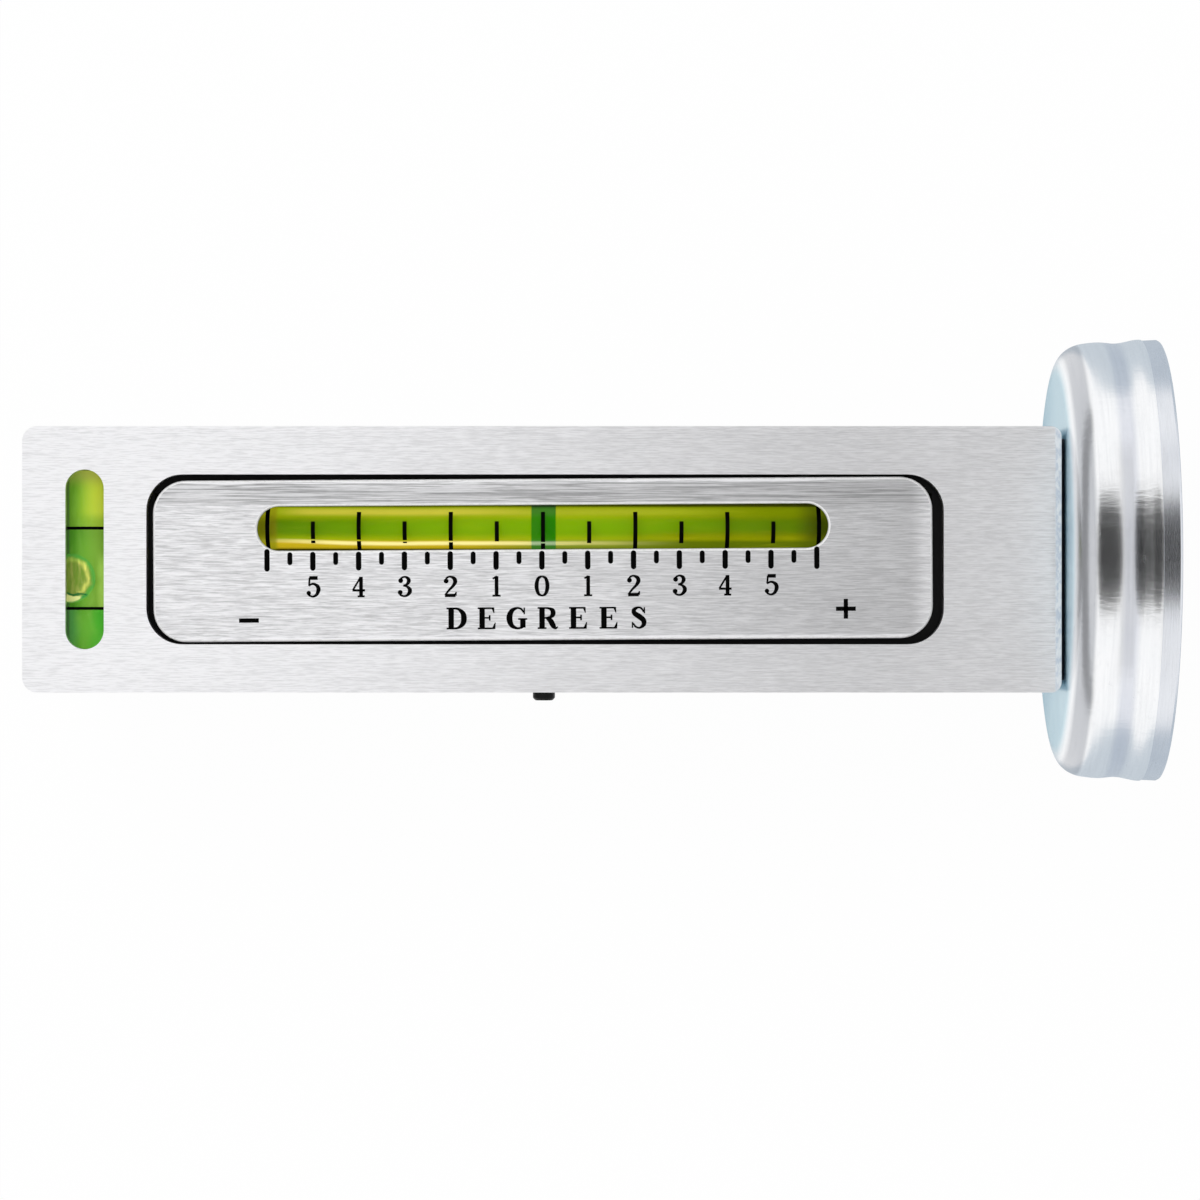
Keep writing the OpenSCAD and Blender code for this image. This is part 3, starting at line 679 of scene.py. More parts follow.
def bow_point(angle, radius, turn):
    """A point round the main vial: angle along the bow, then radius and turn round the tube."""
    out = bow_r + radius * math.sin(turn)
    x = zero_x + out * math.sin(angle)
    return Vector((x, vial_y + radius * math.cos(turn), bow_centre.z + out * math.cos(angle)))


def bow_ring(angle, radius, sides):
    return [bow_point(angle, radius, math.tau * i / sides) for i in range(sides)]


def bow_rod(name, start, end, radius, steps=96, sides=48, chamfer=0.0):
    """A solid rod along the bow of the main vial."""
    lean = chamfer / bow_r
    length = end - start - 2 * lean
    stations = [(start + lean + length * i / steps, radius) for i in range(steps + 1)]
    if chamfer:
        stations = [(start, radius - chamfer), *stations, (end, radius - chamfer)]
    return closed_skin(name, [bow_ring(angle, r, sides) for angle, r in stations])


def bow_pipe(name, half, outer, inner, steps=96, sides=64):
    """The tube of the main vial, with its bore."""
    angles = [half * (2 * k / steps - 1) for k in range(steps + 1)]
    rows = [bow_ring(angle, outer, sides) for angle in angles]
    rows += [bow_ring(angle, inner, sides) for angle in reversed(angles)]
    return closed_skin(name, rows, loop=True)


def spun(name, profile, axis, sides, origin=Vector()):
    """A solid spun round an axis from a closed profile of (along, radius) points."""
    across = axis.cross(UP)
    bm = bmesh.new()
    rings = []
    for along, radius in profile:
        centre = origin + axis * along
        ring = []
        for i in range(sides if radius > 0 else 1):
            turn = math.tau * i / sides
            out = UP * math.cos(turn) + across * math.sin(turn)
            ring.append(bm.verts.new(centre + out * radius))
        rings.append(ring)
    for one, two in zip(rings, rings[1:] + rings[:1]):
        if len(one) > 1 and len(two) > 1:
            bridge(bm, one, two)
        elif len(one) > 1:
            fan(bm, two[0], one)
        elif len(two) > 1:
            fan(bm, one[0], two)
    return mesh_from(bm, name)


# Pen strokes for the scale, in mm from the plate's middle and turned with the plate

PRINT_TURN = math.radians(0.27)
PRINT_PLACE = Vector((zero_x - 0.13 * MM, 0.05 * MM, plate_top))
PRINT_LOW = -0.02
PRINT_HIGH = 0.03
print_spin = Matrix.Rotation(PRINT_TURN, 3, "Z")


def on_plate(x, y, z):
    """A point of the print, in the frame's metres."""
    return print_spin @ (Vector((x, y, z)) * MM) + PRINT_PLACE


def between(a, b, c, d, t):
    """A smooth way from b to c, at the share t of it. a comes before b and d after c."""
    return b + 0.5 * t * (c - a + t * (2 * a - 5 * b + 4 * c - d + t * (3 * b - a - 3 * c + d)))


def smooth_path(points, steps=6):
    """A smooth curve through points, which may have their width as a last number."""
    padded = [points[0], *points, points[-1]]
    path = []
    for four in zip(padded, padded[1:], padded[2:], padded[3:]):
        for k in range(steps):
            path.append(tuple(between(*values, k / steps) for values in zip(*four)))
    path.append(points[-1])
    return path


def add_stroke(bm, path):
    """A flat ribbon along path, as a thin closed solid."""
    left, right = [], []
    for i, (x, y, width) in enumerate(path):
        ahead = path[min(i + 1, len(path) - 1)]
        behind = path[max(i - 1, 0)]
        way = Vector((ahead[0] - behind[0], ahead[1] - behind[1])).normalized()
        side = Vector((-way.y, way.x)) * width / 2
        left.append((x + side.x, y + side.y))
        right.append((x - side.x, y - side.y))
    add_outline(bm, left + right[::-1], strip=len(path))


def add_outline(bm, outline, strip=0):
    """A thin solid of ink over an outline. A strip is filled crosswise, any other as one face."""
    count = len(outline)
    bottom = [bm.verts.new(on_plate(x, y, PRINT_LOW)) for x, y in outline]
    top = [bm.verts.new(on_plate(x, y, PRINT_HIGH)) for x, y in outline]
    bridge(bm, bottom, top)
    if not strip:
        bm.faces.new(top)
        bm.faces.new(bottom[::-1])
        return
    for i in range(strip - 1):
        a, b = i, i + 1
        c, d = count - 2 - i, count - 1 - i
        bm.faces.new((top[a], top[b], top[c], top[d]))
        bm.faces.new((bottom[d], bottom[c], bottom[b], bottom[a]))


def arc(x, y, radius, start, sweep, steps):
    """Points on an arc round (x, y). start and sweep are in degrees."""
    turns = [math.radians(start + sweep * k / steps) for k in range(steps + 1)]
    return [(x + radius * math.cos(turn), y + radius * math.sin(turn)) for turn in turns]


def line(x0, y0, x1, y1, start, end=None):
    """A straight stroke. Its width runs from start to end."""
    return [(x0, y0, start), (x1, y1, end or start)]


# Each sign is a list of strokes, in shares of its height, from its middle. A stroke is a list
# of points of (x, y, width). More than two make a smooth curve, and one is a dot of that radius.
SIGNS = {
    "0": [
        [(0, 0.475, 0.05), (0.2, 0.36, 0.085), (0.285, 0, 0.11), (0.2, -0.36, 0.085),
         (0, -0.475, 0.05), (-0.2, -0.36, 0.085), (-0.285, 0, 0.11), (-0.2, 0.36, 0.085),
         (0, 0.475, 0.05)],
    ],
    "1": [
        line(0.02, 0.49, 0.02, -0.46, 0.1),
        line(0.04, 0.48, -0.18, 0.36, 0.05),
        line(-0.2, -0.475, 0.23, -0.475, 0.05),
    ],
    "2": [
        [(-0.22, 0.26, 0.065)],
        [(-0.26, 0.26, 0.05), (-0.18, 0.42, 0.055), (0, 0.475, 0.055), (0.2, 0.38, 0.1),
         (0.25, 0.22, 0.11), (0.14, 0.02, 0.08), (-0.08, -0.2, 0.06), (-0.28, -0.44, 0.05)],
        line(-0.29, -0.45, 0.27, -0.45, 0.09),
        line(0.25, -0.45, 0.31, -0.28, 0.08, 0.03),
    ],
    "3": [
        [(-0.2, 0.29, 0.065)],
        [(-0.24, 0.31, 0.05), (-0.14, 0.43, 0.055), (0.02, 0.475, 0.055), (0.18, 0.4, 0.09),
         (0.22, 0.26, 0.105), (0.12, 0.1, 0.07), (-0.07, 0.04, 0.045)],
        [(-0.07, 0.04, 0.045), (0.12, 0, 0.06), (0.26, -0.12, 0.1), (0.27, -0.27, 0.11),
         (0.14, -0.43, 0.07), (-0.03, -0.475, 0.055), (-0.2, -0.42, 0.055), (-0.27, -0.3, 0.05)],
        [(-0.23, -0.29, 0.065)],
    ],
    "4": [
        line(0.12, 0.49, 0.12, -0.46, 0.1),
        line(0.1, 0.47, -0.31, -0.17, 0.05),
        line(-0.33, -0.18, 0.33, -0.18, 0.06),
        line(-0.06, -0.475, 0.31, -0.475, 0.05),
    ],
    "5": [
        line(-0.18, 0.44, 0.25, 0.44, 0.1),
        line(-0.17, 0.46, -0.2, 0.06, 0.05),
        [(-0.21, 0.05, 0.04), (-0.06, 0.14, 0.055), (0.1, 0.13, 0.07), (0.25, 0.02, 0.1),
         (0.29, -0.16, 0.11), (0.18, -0.39, 0.08), (0, -0.475, 0.055), (-0.18, -0.42, 0.055),
         (-0.26, -0.31, 0.05)],
        [(-0.22, -0.3, 0.06)],
    ],
    "D": [
        line(-0.2, 0.49, -0.2, -0.49, 0.19),
        line(-0.39, 0.47, 0, 0.47, 0.06),
        line(-0.39, -0.47, 0, -0.47, 0.06),
        [(-0.1, 0.47, 0.06), (0.1, 0.43, 0.09), (0.28, 0.24, 0.17), (0.32, 0, 0.2),
         (0.28, -0.24, 0.17), (0.1, -0.43, 0.09), (-0.1, -0.47, 0.06)],
    ],
    "E": [
        line(-0.18, 0.49, -0.18, -0.49, 0.19),
        line(-0.36, 0.47, 0.29, 0.47, 0.06),
        line(0.26, 0.49, 0.31, 0.24, 0.1, 0.03),
        line(-0.1, 0.02, 0.13, 0.02, 0.06),
        line(0.13, 0.15, 0.13, -0.11, 0.06),
        line(-0.36, -0.47, 0.31, -0.47, 0.06),
        line(0.29, -0.49, 0.36, -0.2, 0.12, 0.03),
    ],
    "G": [
        [(0.27, 0.26, 0.05), (0.18, 0.42, 0.07), (0, 0.47, 0.08), (-0.22, 0.33, 0.16),
         (-0.31, 0, 0.21), (-0.22, -0.33, 0.16), (0, -0.47, 0.08), (0.18, -0.44, 0.08),
         (0.26, -0.36, 0.1)],
        line(0.24, -0.04, 0.24, -0.44, 0.19),
        line(0.05, -0.04, 0.42, -0.04, 0.06),
        line(0.3, 0.49, 0.3, 0.18, 0.05),
    ],
    "R": [
        line(-0.22, 0.49, -0.22, -0.49, 0.19),
        line(-0.4, 0.47, -0.02, 0.47, 0.06),
        line(-0.4, -0.47, -0.04, -0.47, 0.06),
        [(-0.15, 0.47, 0.06), (0.06, 0.45, 0.08), (0.21, 0.35, 0.16), (0.22, 0.16, 0.17),
         (0.08, 0.03, 0.08), (-0.15, 0, 0.06)],
        [(-0.02, 0.02, 0.12), (0.12, -0.12, 0.18), (0.24, -0.36, 0.18), (0.34, -0.47, 0.09),
         (0.43, -0.4, 0.03)],
    ],
    "S": [
        [(0.2, 0.26, 0.05), (0.12, 0.42, 0.07), (-0.02, 0.475, 0.07), (-0.19, 0.37, 0.14),
         (-0.17, 0.2, 0.17), (0.02, 0.05, 0.19), (0.19, -0.12, 0.18), (0.2, -0.32, 0.15),
         (0.04, -0.475, 0.07), (-0.13, -0.42, 0.07), (-0.23, -0.25, 0.05)],
        line(0.23, 0.48, 0.23, 0.2, 0.05),
        line(-0.26, -0.48, -0.26, -0.2, 0.05),
    ],
    "+": [line(-0.3, 0, 0.3, 0, 0.13), line(0, 0.3, 0, -0.3, 0.13)],
    "-": [line(-0.3, 0, 0.3, 0, 0.13)],
}


def add_sign(bm, strokes, x, y, height, wide=1.0, bold=1.0):
    """Draws a sign of that height in mm with its middle at (x, y)."""
    for points in strokes:
        path = [
            (x + px * height * wide, y + py * height, width * height * bold)
            for px, py, width in points
        ]
        if len(path) == 1:
            add_outline(bm, arc(*path[0], 0, 360, 16)[:-1])
        else:
            add_stroke(bm, smooth_path(path) if len(path) > 2 else path)


# Pieces of the bar

body_metal = bar_aluminium()
plate_metal = plate_aluminium()
edge_metal = milled_edge_painted_highlight()
oxide = black_oxide()
nickel = black_nickel()
brass = turned_brass()
acrylic = clear_acrylic()
rim_metal = ground_rim()
moulded = {"patch": (9, 2, 0.5, 0, 4), "rough": (0.5, 0.2), "Specular_IOR_Level": 0.25}
carrier_plastic = grainy("carrier_plastic", (0.12, 4, 0.6), tones=(grey(6), grey(14)), **moulded)
holder_plastic = grainy("holder_plastic", (0.15, 4, 0.6), tones=(grey(26), grey(40)), **moulded)
ferrite_look = ((0.25, 5, 0.7), (5, 3, 0.6, 0, 3), (grey(44), grey(66)), (0.4, 0.3))
ferrite = grainy("sintered_ferrite", *ferrite_look, Metallic=0.35)
wire = plain("drawn_wire", 0.6, (3, 0.5), (grey(176), grey(214)), (0.2, 0.2), Metallic=1.0)
paper_tones = (colour(226, 222, 168), colour(244, 242, 208))
paper = plain("paper_card", (1.2, 0.2, 0.2), (4, 0.6), paper_tones, (0.8, 0.1), (0.3, 0.00003))
# The spacer between the bar and the cup is a real part, and its near-black colour also paints the
# shade of that crevice.
spacer_shade_tones = (colour(6, 10, 22), colour(22, 30, 52))
spacer_shade = plain("dark_spacer_shade", (0.2, 1.2, 1.2), (4, 0.6), spacer_shade_tones, (0.6, 0.2), (0.3, 0.00003))
ink = plain("printed_black", 0.15, (3, 0.6), (grey(1), grey(9)), (0.6, 0.2), Specular_IOR_Level=0.02)
plug_tones = (colour(96, 112, 14), colour(140, 156, 30))
plug_tint = plain("tinted_plug", 1.5, (3, 0.5), plug_tones, (0.2, 0.1))
air_tones = (colour(160, 196, 60), colour(226, 236, 150))
air = plain("main_bubble_glow", (2, 1, 1), (2, 0.5), air_tones, Roughness=0.15, Coat_Weight=0.5)

bar = bevelled("bar", "housing", [body_metal, edge_metal], 0.22)
bevelled("back_cover", "rear_cover", [body_metal, edge_metal], 0.22)
bevelled("back_cover_screws", "cover_screws", [nickel], 0.07)
plate = bevelled("plate", "scale_plate", [plate_metal, edge_metal], 0.3, 3)
bevelled("carrier_block", "vial_carrier", [carrier_plastic], 0.2)
bevelled("card_strip", "reflector_card", [paper], 0.06)
bevelled("pin", "pivot_pin", [oxide], 0.08)
bevelled("bushes", "pivot_bushes", [brass], 0.06)
bevelled("zero_adjuster", "zero_screw", [nickel], 0.08)
bevelled("insert", "zero_insert", [brass], 0.08)
bevelled("seat_washer", "spring_seat", [wire], 0.06)
bevelled("cross_plugs", "cross_vial_plugs", [plug_tint], 0.08)
bevelled("cross_liner", "cross_reflector", [paper], 0.04)
bevelled("cross_cradle", "cross_holder", [holder_plastic], 0.15)
bevelled("cross_foam", "cross_pad", [foam_rubber()], 0.1)
bevelled("spacer", "end_spacer", [spacer_shade], 0.06)


# Main vial

# The slot that shows it, in mm
SLOT_HALF_WIDTH = 3.0
SLOT_HALF_LENGTH = 38.0

# Degree lines on the tube: their feet and heads across it, in mm
ODD_MARK = (-2.1, 0.8)
EVEN_MARK = (-3.1, 2.05)
END_MARK = (-3.2, 3.2)
LAST_DEGREE = 6
MARK_HALF_WIDTH = 0.28 * MM
GLARE_GAP = 0.1

PLUG_GAP_ANGLE = 0.0002
bore_r = span("main_vial_fluid").y / 2
liquid_half = math.asin(span("main_vial_fluid").x / 2 / (bow_r + bore_r))


def make_vial():
    """The tube, the rod of liquid inside it and its two plugs."""
    tube = bow_pipe("vial_tube", tube_half, tube_r, bore_r + 0.03 * MM)
    add_piece("vial_tube", tube, "main_vial_tube", [acrylic])
    liquid = bow_rod("vial_liquid", -liquid_half, liquid_half, bore_r - 0.12 * MM)
    look = main_liquid(SLOT_HALF_WIDTH, SLOT_HALF_LENGTH)
    add_piece("vial_liquid", liquid, "main_vial_fluid", [look])
    plugs = bmesh.new()
    for side in (-1, 1):
        start, end = sorted((side * (liquid_half + PLUG_GAP_ANGLE), side * tube_half))
        take_in(plugs, bow_rod("plug", start, end, bore_r - 0.01 * MM, 4, chamfer=0.2 * MM))
    add_piece("vial_plugs", mesh_from(plugs, "vial_plugs"), "main_vial_plugs", [plug_tint])


def make_main_bubble():
    """A lens of air against the top of the bore."""
    low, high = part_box("main_bubble")
    angle = math.asin(((low.x + high.x) / 2 - zero_x) / bow_r)
    half_angle = (high.x - low.x) / 2 / bow_r
    top_r = bore_r - 0.02 * MM
    depth = (high.z - low.z) * 0.7
    widest = math.asin(min((high.y - low.y) / 2 / top_r, 0.95))
    steps, sides = 24, 32
    rows = []
    for k in range(steps + 1):
        share = math.sin(math.pi / 2 * (2 * k / steps - 1)) * 0.999
        swell = math.sqrt(max(1 - share * share, 0.0004))
        row = []
        for i in range(sides):
            turn = math.tau * i / sides
            out = top_r + min(math.sin(turn), 0) * depth * swell
            around = math.pi / 2 - widest * swell * math.cos(turn)
            row.append(bow_point(angle + half_angle * share, out, around))
        rows.append(row)
    add_piece("air_bubble", closed_skin("air_bubble", rows), "main_bubble", [air], 60)


def make_vial_marks():
    """Degree lines printed on the tube. Those on the left are broken where the liquid's painted
    highlight line crosses them.
    """
    marks = bmesh.new()
    outer = tube_r + 0.03 * MM
    inner = tube_r - 0.01 * MM
    lean = MARK_HALF_WIDTH / bow_r
    steps = 8
    for degree in range(-LAST_DEGREE, LAST_DEGREE + 1):
        foot, head = ODD_MARK if degree % 2 else EVEN_MARK
        # A gap for the painted highlight line of the liquid.
        glare = -2.05 - degree * 0.08
        if abs(degree) == LAST_DEGREE:
            reaches = [END_MARK]
        elif degree > 0:
            reaches = [(foot, head)]
        else:
            reaches = [(glare + GLARE_GAP, head)]
            if glare - foot > 2 * GLARE_GAP:
                reaches.append((foot, glare - GLARE_GAP))
        left = math.radians(degree) - lean
        right = math.radians(degree) + lean
        corners = ((left, inner), (right, inner), (right, outer), (left, outer))
        for low, high in reaches:
            places = [(low + (high - low) * k / steps) * MM for k in range(steps + 1)]
            turns = [math.acos(y / tube_r) for y in places]
            rows = [[bow_point(angle, r, turn) for angle, r in corners] for turn in turns]
            take_in(marks, closed_skin("mark", rows))
    add_print("vial_marks", marks, "scale_plate")


make_vial()
make_main_bubble()
make_vial_marks()


# Scale on the plate

HALF_DEGREE = 3.047

# Each tick's foot, head and width
ODD_TICK = (-0.66, 1.05, 0.66)
EVEN_TICK = (-1.42, 1.1, 0.72)
END_TICK = (-1.5, 1.5, 0.7)
LAST_TICK = 12

DIGIT_Y = -3.57
DIGIT_HEIGHT = 2.7
DIGIT_WIDE, DIGIT_BOLD = 0.94, 1.85
WORD = "DEGREES"
WORD_MIDDLE = 0.7
WORD_Y = -7.85
LETTER_HEIGHT = 2.85
LETTER_WIDE, LETTER_BOLD = 1.14, 1.35
LETTER_PITCH = 4.05
SIGN_HEIGHT = 4.4
MINUS_PLACE = (-39.0, -8.0)
PLUS_PLACE = (40.4, -6.8)


def add_tick(bm, x, low, high, width):
    """An upright tick with rounded ends."""
    r = width / 2
    add_outline(bm, arc(x, high - r, r, 0, 180, 8) + arc(x, low + r, r, 180, 180, 8))


def make_scale():
    ticks = bmesh.new()
    for step in range(-LAST_TICK, LAST_TICK + 1):
        tick = ODD_TICK if step % 2 else EVEN_TICK
        add_tick(ticks, step * HALF_DEGREE, *(END_TICK if abs(step) == LAST_TICK else tick))
    add_print("scale_ticks", ticks, "scale_plate")

    digits = bmesh.new()
    for degree in range(-5, 6):
        strokes = SIGNS[str(abs(degree))]
        x = degree * 2 * HALF_DEGREE
        add_sign(digits, strokes, x, DIGIT_Y, DIGIT_HEIGHT, DIGIT_WIDE, DIGIT_BOLD)
    add_print("scale_digits", digits, "scale_plate")

    signs = bmesh.new()
    for i, letter in enumerate(WORD):
        x = WORD_MIDDLE + (i - (len(WORD) - 1) / 2) * LETTER_PITCH
        strokes = SIGNS[letter]
        add_sign(signs, strokes, x, WORD_Y, LETTER_HEIGHT, LETTER_WIDE, LETTER_BOLD)
    add_sign(signs, SIGNS["-"], *MINUS_PLACE, SIGN_HEIGHT)
    add_sign(signs, SIGNS["+"], *PLUS_PLACE, SIGN_HEIGHT)
    add_print("scale_signs", signs, "scale_plate")


make_scale()


# Cross vial

CROSS_WALL = 1.1 * MM
BARREL_R = 200 * MM
cross_bore = cross_r - CROSS_WALL
cross_origin = Vector((cross_x, 0, cross_z))
cross_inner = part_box("cross_vial_fluid")[1].y


def barrel_bore(half, steps=16):
    """The barrel-shaped bore from its far end to its near end, as (along, radius)."""
    places = [half * (1 - 2 * k / steps) for k in range(steps + 1)]
    return [(y, cross_bore - (BARREL_R - math.sqrt(BARREL_R**2 - y * y))) for y in places]


def spun_across(name, profile):
    return spun(name, profile, ACROSS_BAR, 64, cross_origin)


def make_cross_tube():
    half = cross_len / 2
    chamfer = 0.2 * MM
    plug_r = span("cross_vial_plugs").x / 2 + 0.03 * MM
    end = [(half - chamfer, cross_r), (half, cross_r - chamfer)]
    end += [(half, plug_r), (cross_inner, plug_r)]
    far_end = [(-y, r) for y, r in reversed(end)]
    mesh = spun_across("short_tube", end + barrel_bore(cross_inner) + far_end)
    add_piece("short_tube", mesh, "cross_vial_tube", [acrylic])


def make_cross_liquid():
    """A little thinner than the bubble, so that the bubble shows all along its travel."""
    radius = cross_bore - 0.48 * MM
    half = cross_inner
    mesh = spun_across("short_liquid", [(-half, 0), (-half, radius), (half, radius), (half, 0)])
    add_piece("short_liquid", mesh, "cross_vial_fluid", [cross_liquid()])


def make_cross_bubble():
    """A round pool of air along the skin of the liquid, cut off where the tube's side begins.

    It is thin enough for the ends of the barrel-shaped bore, where its travel stops.
    """
    low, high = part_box("cross_bubble")
    outline_r = (high.y - low.y) / 2
    centre_x = high.x - outline_r
    centre_y = (low.y + high.y) / 2
    skin = cross_bore - 0.31 * MM
    left = cross_x - skin + 0.12 * MM
    steps, sides = 10, 48

    def height(x):
        return math.sqrt(max(skin**2 - (x - cross_x) ** 2, 0))

    bm = bmesh.new()
    rims = []
    for share in (1.0, 0.5):
        rings = []
        for k in range(1, steps + 1):
            ring = []
            for x, y in arc(centre_x, centre_y, outline_r * k / steps, 0, 360, sides)[:-1]:
                x = max(x, left)
                ring.append(bm.verts.new((x, y, cross_z + height(x) * share)))
            rings.append(ring)
        tip = bm.verts.new((centre_x, centre_y, cross_z + height(centre_x) * share))
        fan(bm, tip, rings[0])
        for one, two in zip(rings, rings[1:]):
            bridge(bm, one, two)
        rims.append(rings[-1])
    bridge(bm, *rims)
    bmesh.ops.remove_doubles(bm, verts=bm.verts, dist=0.001 * MM)
    look = cross_bubble_glow(centre_x / MM, centre_y / MM, outline_r / MM)
    add_piece("short_bubble", mesh_from(bm, "short_bubble"), "cross_bubble", [look], 60)


def make_cross_marks():
    """Two rings printed round the short tube."""
    marks = bmesh.new()
    low, high = cross_r - 0.01 * MM, cross_r + 0.03 * MM
    for y in (UPPER_MARK, LOWER_MARK):
        near, far = (y - 0.2) * MM, (y + 0.2) * MM
        take_in(marks, spun_across("mark", [(near, low), (far, low), (far, high), (near, high)]))
    add_print("short_tube_marks", marks, "cross_vial_tube")


make_cross_tube()
make_cross_liquid()
make_cross_bubble()
make_cross_marks()


# Spring round the zero screw

SPRING_TURNS = 5.5
SPRING_WIRE_R = 0.35 * MM
SPRING_R = 2.5 * MM


def make_spring():
    """A coil spring in the place of the frame's spring round the zero screw."""
    low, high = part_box("zero_spring")
    axis = middle("zero_screw")
    bottom = low.z + SPRING_WIRE_R
    rise = high.z - low.z - 2 * SPRING_WIRE_R
    steps, sides = int(SPRING_TURNS * 32), 12
    rows = []
    for k in range(steps + 1):
        turn = math.tau * SPRING_TURNS * k / steps
        out = Vector((math.cos(turn), math.sin(turn), 0))
        centre = Vector((axis.x, axis.y, bottom + rise * k / steps)) + out * SPRING_R
        row = []
        for around in (math.tau * i / sides for i in range(sides)):
            row.append(centre + (out * math.cos(around) + UP * math.sin(around)) * SPRING_WIRE_R)
        rows.append(row)
    spring = new_object("coil_spring", closed_skin("coil_spring", rows), [wire], 40)
    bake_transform(spring)
    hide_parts("zero_spring")


make_spring()


# Magnet

# The drawn side of the cup in mm, from its back face to the ground rim
CUP_SIDE = (
    (-13.9, 24.2), (-13.88, 25.4), (-13.62, 26.8), (-13.0, 27.95), (-12.1, 28.75), (-11.0, 29.25),
    (-9.9, 29.46), (-8.8, 29.58), (-7.9, 29.61), (-7.0, 29.53), (-6.1, 29.45), (-5.2, 29.52),
    (-4.4, 29.68), (-3.6, 29.86), (-2.95, 29.96), (-2.5, 29.98),
)

# The ground rim: its place along X, and how far inside the cup's widest radius, in mm
CUP_RIM = ((-2.45, 0.16), (-2.4, 0.158), (-0.45, 0.065), (-0.35, 0.06), (-0.1, 0.2), (0, 0.42))
RIM_EDGE = -2.5 * MM
CUP_HOLE_R = 3.2 * MM
FERRITE_BORE_R = 11.0 * MM
SAG = 0.25 * MM


def make_cup():
    """The steel cup: flat back, round corner, a slight waist and a ground rim."""
    floor_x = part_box("ferrite_ring")[0].x
    bore = span("potting_rings").y / 2
    side = smooth_path([(x * MM, r * MM) for x, r in CUP_SIDE], 5)
    outline = [(floor_x, CUP_HOLE_R), (-cup_h, CUP_HOLE_R), *side]
    outline += [(x * MM, cup_r - inside * MM) for x, inside in CUP_RIM]
    outline += [(0, bore + 0.3 * MM), (-0.3 * MM, bore), (floor_x, bore)]
    mesh = spun("cup", outline, ALONG_BAR, 160)
    piece = add_piece("cup", mesh, "magnet_cup", [zinc_cup(), rim_metal], 32)
    for polygon in mesh.polygons:
        centre = polygon.center
        if centre.x > RIM_EDGE and math.hypot(centre.y, centre.z) > bore:
            polygon.material_index = 1
    return piece


def make_potting():
    """Resin poured into both ring gaps, sagging a little between their walls."""
    low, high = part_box("potting_rings")
    outer_gap = (span("ferrite_ring").y / 2, (high.y - low.y) / 2)
    inner_gap = (span("pole_bush").y / 2, FERRITE_BORE_R)
    rings = bmesh.new()
    steps = 8
    for inner, outer in (outer_gap, inner_gap):
        profile = [(low.x, outer), (low.x, inner)]
        for k in range(steps + 1):
            depth = SAG * math.sin(math.pi * k / steps)
            profile.append((high.x - depth, inner + (outer - inner) * k / steps))
        take_in(rings, spun("ring", profile, ALONG_BAR, 96))
    add_piece("resin_rings", mesh_from(rings, "resin_rings"), "potting_rings", [cast_resin()])


cup = make_cup()
make_potting()
bevelled("ferrite", "ferrite_ring", [ferrite], 0.2)
bevelled("pole", "pole_bush", [rim_metal], 0.2)
bevelled("cap_screw", "magnet_screw", [oxide], 0.2)
bevelled("split_washer", "lock_washer", [wire], 0.08)


# Studio

CAMERA_PLACE = Vector((-75.7 * MM, -5.4 * MM, 640 * MM))
PHOTO_WIDTH = 163.3 * MM
SENSOR = 36.0
FLOOR_Z = -cup_r - 0.1 * MM
CARD_ROUNDING = 0.95


def make_camera():
    data = bpy.data.cameras.new("photo_camera")
    data.sensor_width = SENSOR
    data.lens = SENSOR * CAMERA_PLACE.z / PHOTO_WIDTH
    data.clip_start = 0.01
    data.clip_end = 20
    camera = bpy.data.objects.new("photo_camera", data)
    camera.location = CAMERA_PLACE
    scene.collection.objects.link(camera)
    scene.camera = camera


def seen_white(graph):
    """1 for rays that should find a white background."""
    names = ("Is Camera Ray", "Is Glossy Ray", "Is Transmission Ray")
    camera, glossy, through = (graph.add("LightPath", output=name) for name in names)
    return camera.math("MAXIMUM", glossy.math("MAXIMUM", through))


def make_floor():
    """A white floor that only has an upper side, so that the gauge's back shows from below."""
    f = Finish("white_floor")
    matt = f.add("BsdfDiffuse", {"Color": WHITE})
    glow = f.add("Emission", {"Color": WHITE, "Strength": 1.0})
    upper_side = f.add("MixShader", {0: seen_white(f) * 0.97, 1: matt, 2: glow})
    clear = f.add("BsdfTransparent", {"Color": WHITE})
    from_below = f.add("NewGeometry", output="Backfacing")
    f.surface(f.add("MixShader", {0: from_below, 1: upper_side, 2: clear}))
    floor = flat_card("floor", f.material, 4, 8)
    floor.location = (0, 0, FLOOR_Z)


def make_world():
    world = bpy.data.worlds.new("white_room")
    world.use_nodes = True
    scene.world = world
    g = Graph(world.node_tree)
    strength = seen_white(g) * 0.3 + 0.7
    sky = g.add("Background", {"Color": WHITE, "Strength": strength})
    g.add("OutputWorld", {"Surface": sky})


def flat_card(name, material, sides, size):
    """A flat card round the origin: a square, or a disc when it has many sides."""
    bm = bmesh.new()
    if sides == 4:
        bmesh.ops.create_grid(bm, x_segments=1, y_segments=1, size=size / 2)
    else:
        bmesh.ops.create_circle(bm, cap_ends=True, segments=sides, radius=size / 2)
    return new_object(name, mesh_from(bm, name, turn_out=False), [material])


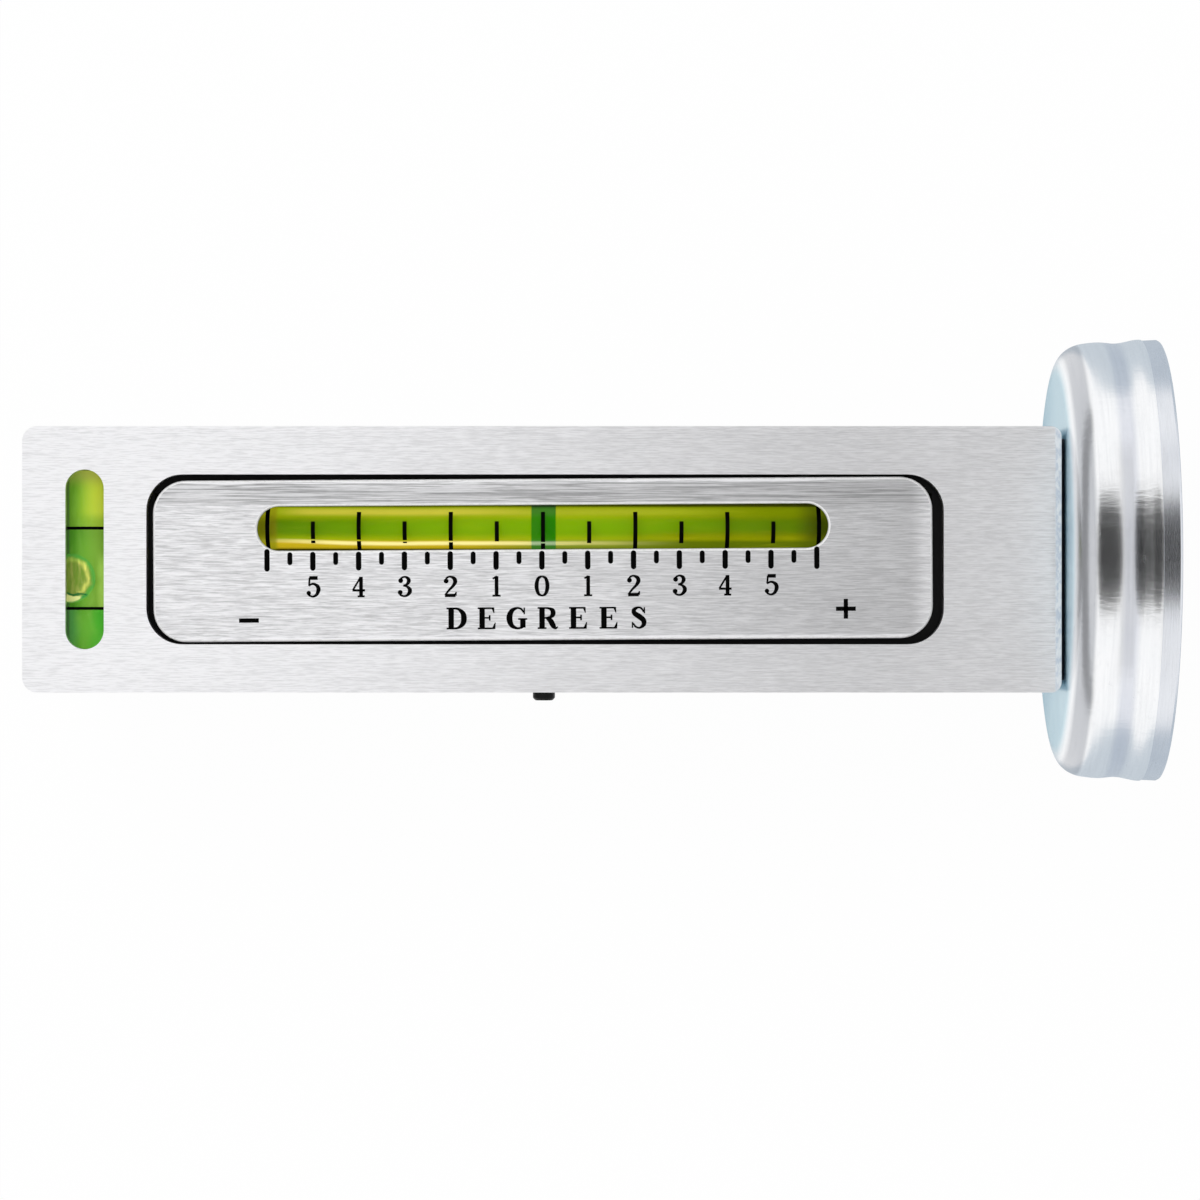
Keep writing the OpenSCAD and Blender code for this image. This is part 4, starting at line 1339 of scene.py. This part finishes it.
def put_up(thing, place, way):
    """Puts a card or a lamp there, facing that way and hidden from the camera."""
    thing.location = place
    thing.rotation_mode = "QUATERNION"
    thing.rotation_quaternion = way.to_track_quat("-Z", "Y")
    thing.visible_camera = False


def make_card(name, place, size, level, aim=(0, 0, -1), sides=4, dark_for=()):
    """A card of the studio that only shiny surfaces show. To the pieces in dark_for it is black.

    A card with more than 4 sides is nearly an oval.
    """
    f = Finish(name)
    f.surface(f.add("Emission", {"Color": level, "Strength": 1.0}))
    card = flat_card(name, f.material, sides, 1)
    if sides > 4:
        for vertex in card.data.vertices:
            vertex.co = [math.copysign(0.5 * (2 * abs(v)) ** CARD_ROUNDING, v) for v in vertex.co]
    card.scale = (*size, 1)
    put_up(card, place, Vector(aim))
    card.visible_diffuse = False
    card.visible_shadow = False
    card.visible_transmission = False
    if dark_for:
        unlit = bpy.data.collections.new(name)
        card.light_linking.receiver_collection = unlit
        for piece in dark_for:
            unlit.objects.link(piece)
        for entry in unlit.collection_objects:
            entry.light_linking.link_state = "EXCLUDE"


def make_lamp(name, place, aim, size, power):
    data = bpy.data.lights.new(name, "AREA")
    data.shape = "RECTANGLE"
    data.size, data.size_y = size
    data.energy = power
    lamp = bpy.data.objects.new(name, data)
    put_up(lamp, place, Vector(aim) - Vector(place))
    lamp.visible_glossy = False
    scene.collection.objects.link(lamp)


make_camera()
make_floor()
make_world()
make_card("camera_card", (-0.12, 0.058, 0.64), (0.5, 0.73), WHITE, sides=48, dark_for=[cup])
make_card("right_card", (0.6, 0, 0.64), (1.0, 2.4), grey(230), dark_for=[bar, plate])
make_card("left_card", (-0.7, 0, 0.18), (4, 0.42), grey(170), aim=(1, 0, 0))
floor_place = (0.24, 0, FLOOR_Z + 0.05 * MM)
make_card("floor_card", floor_place, (0.516, 0.7), colour(198, 207, 215), aim=(0, 0, 1))
make_lamp("soft_key", (-0.3, 0.3, 0.6), (-0.08, 0, 0), (0.4, 0.4), 1.2)
scene.view_settings.view_transform = "Standard"
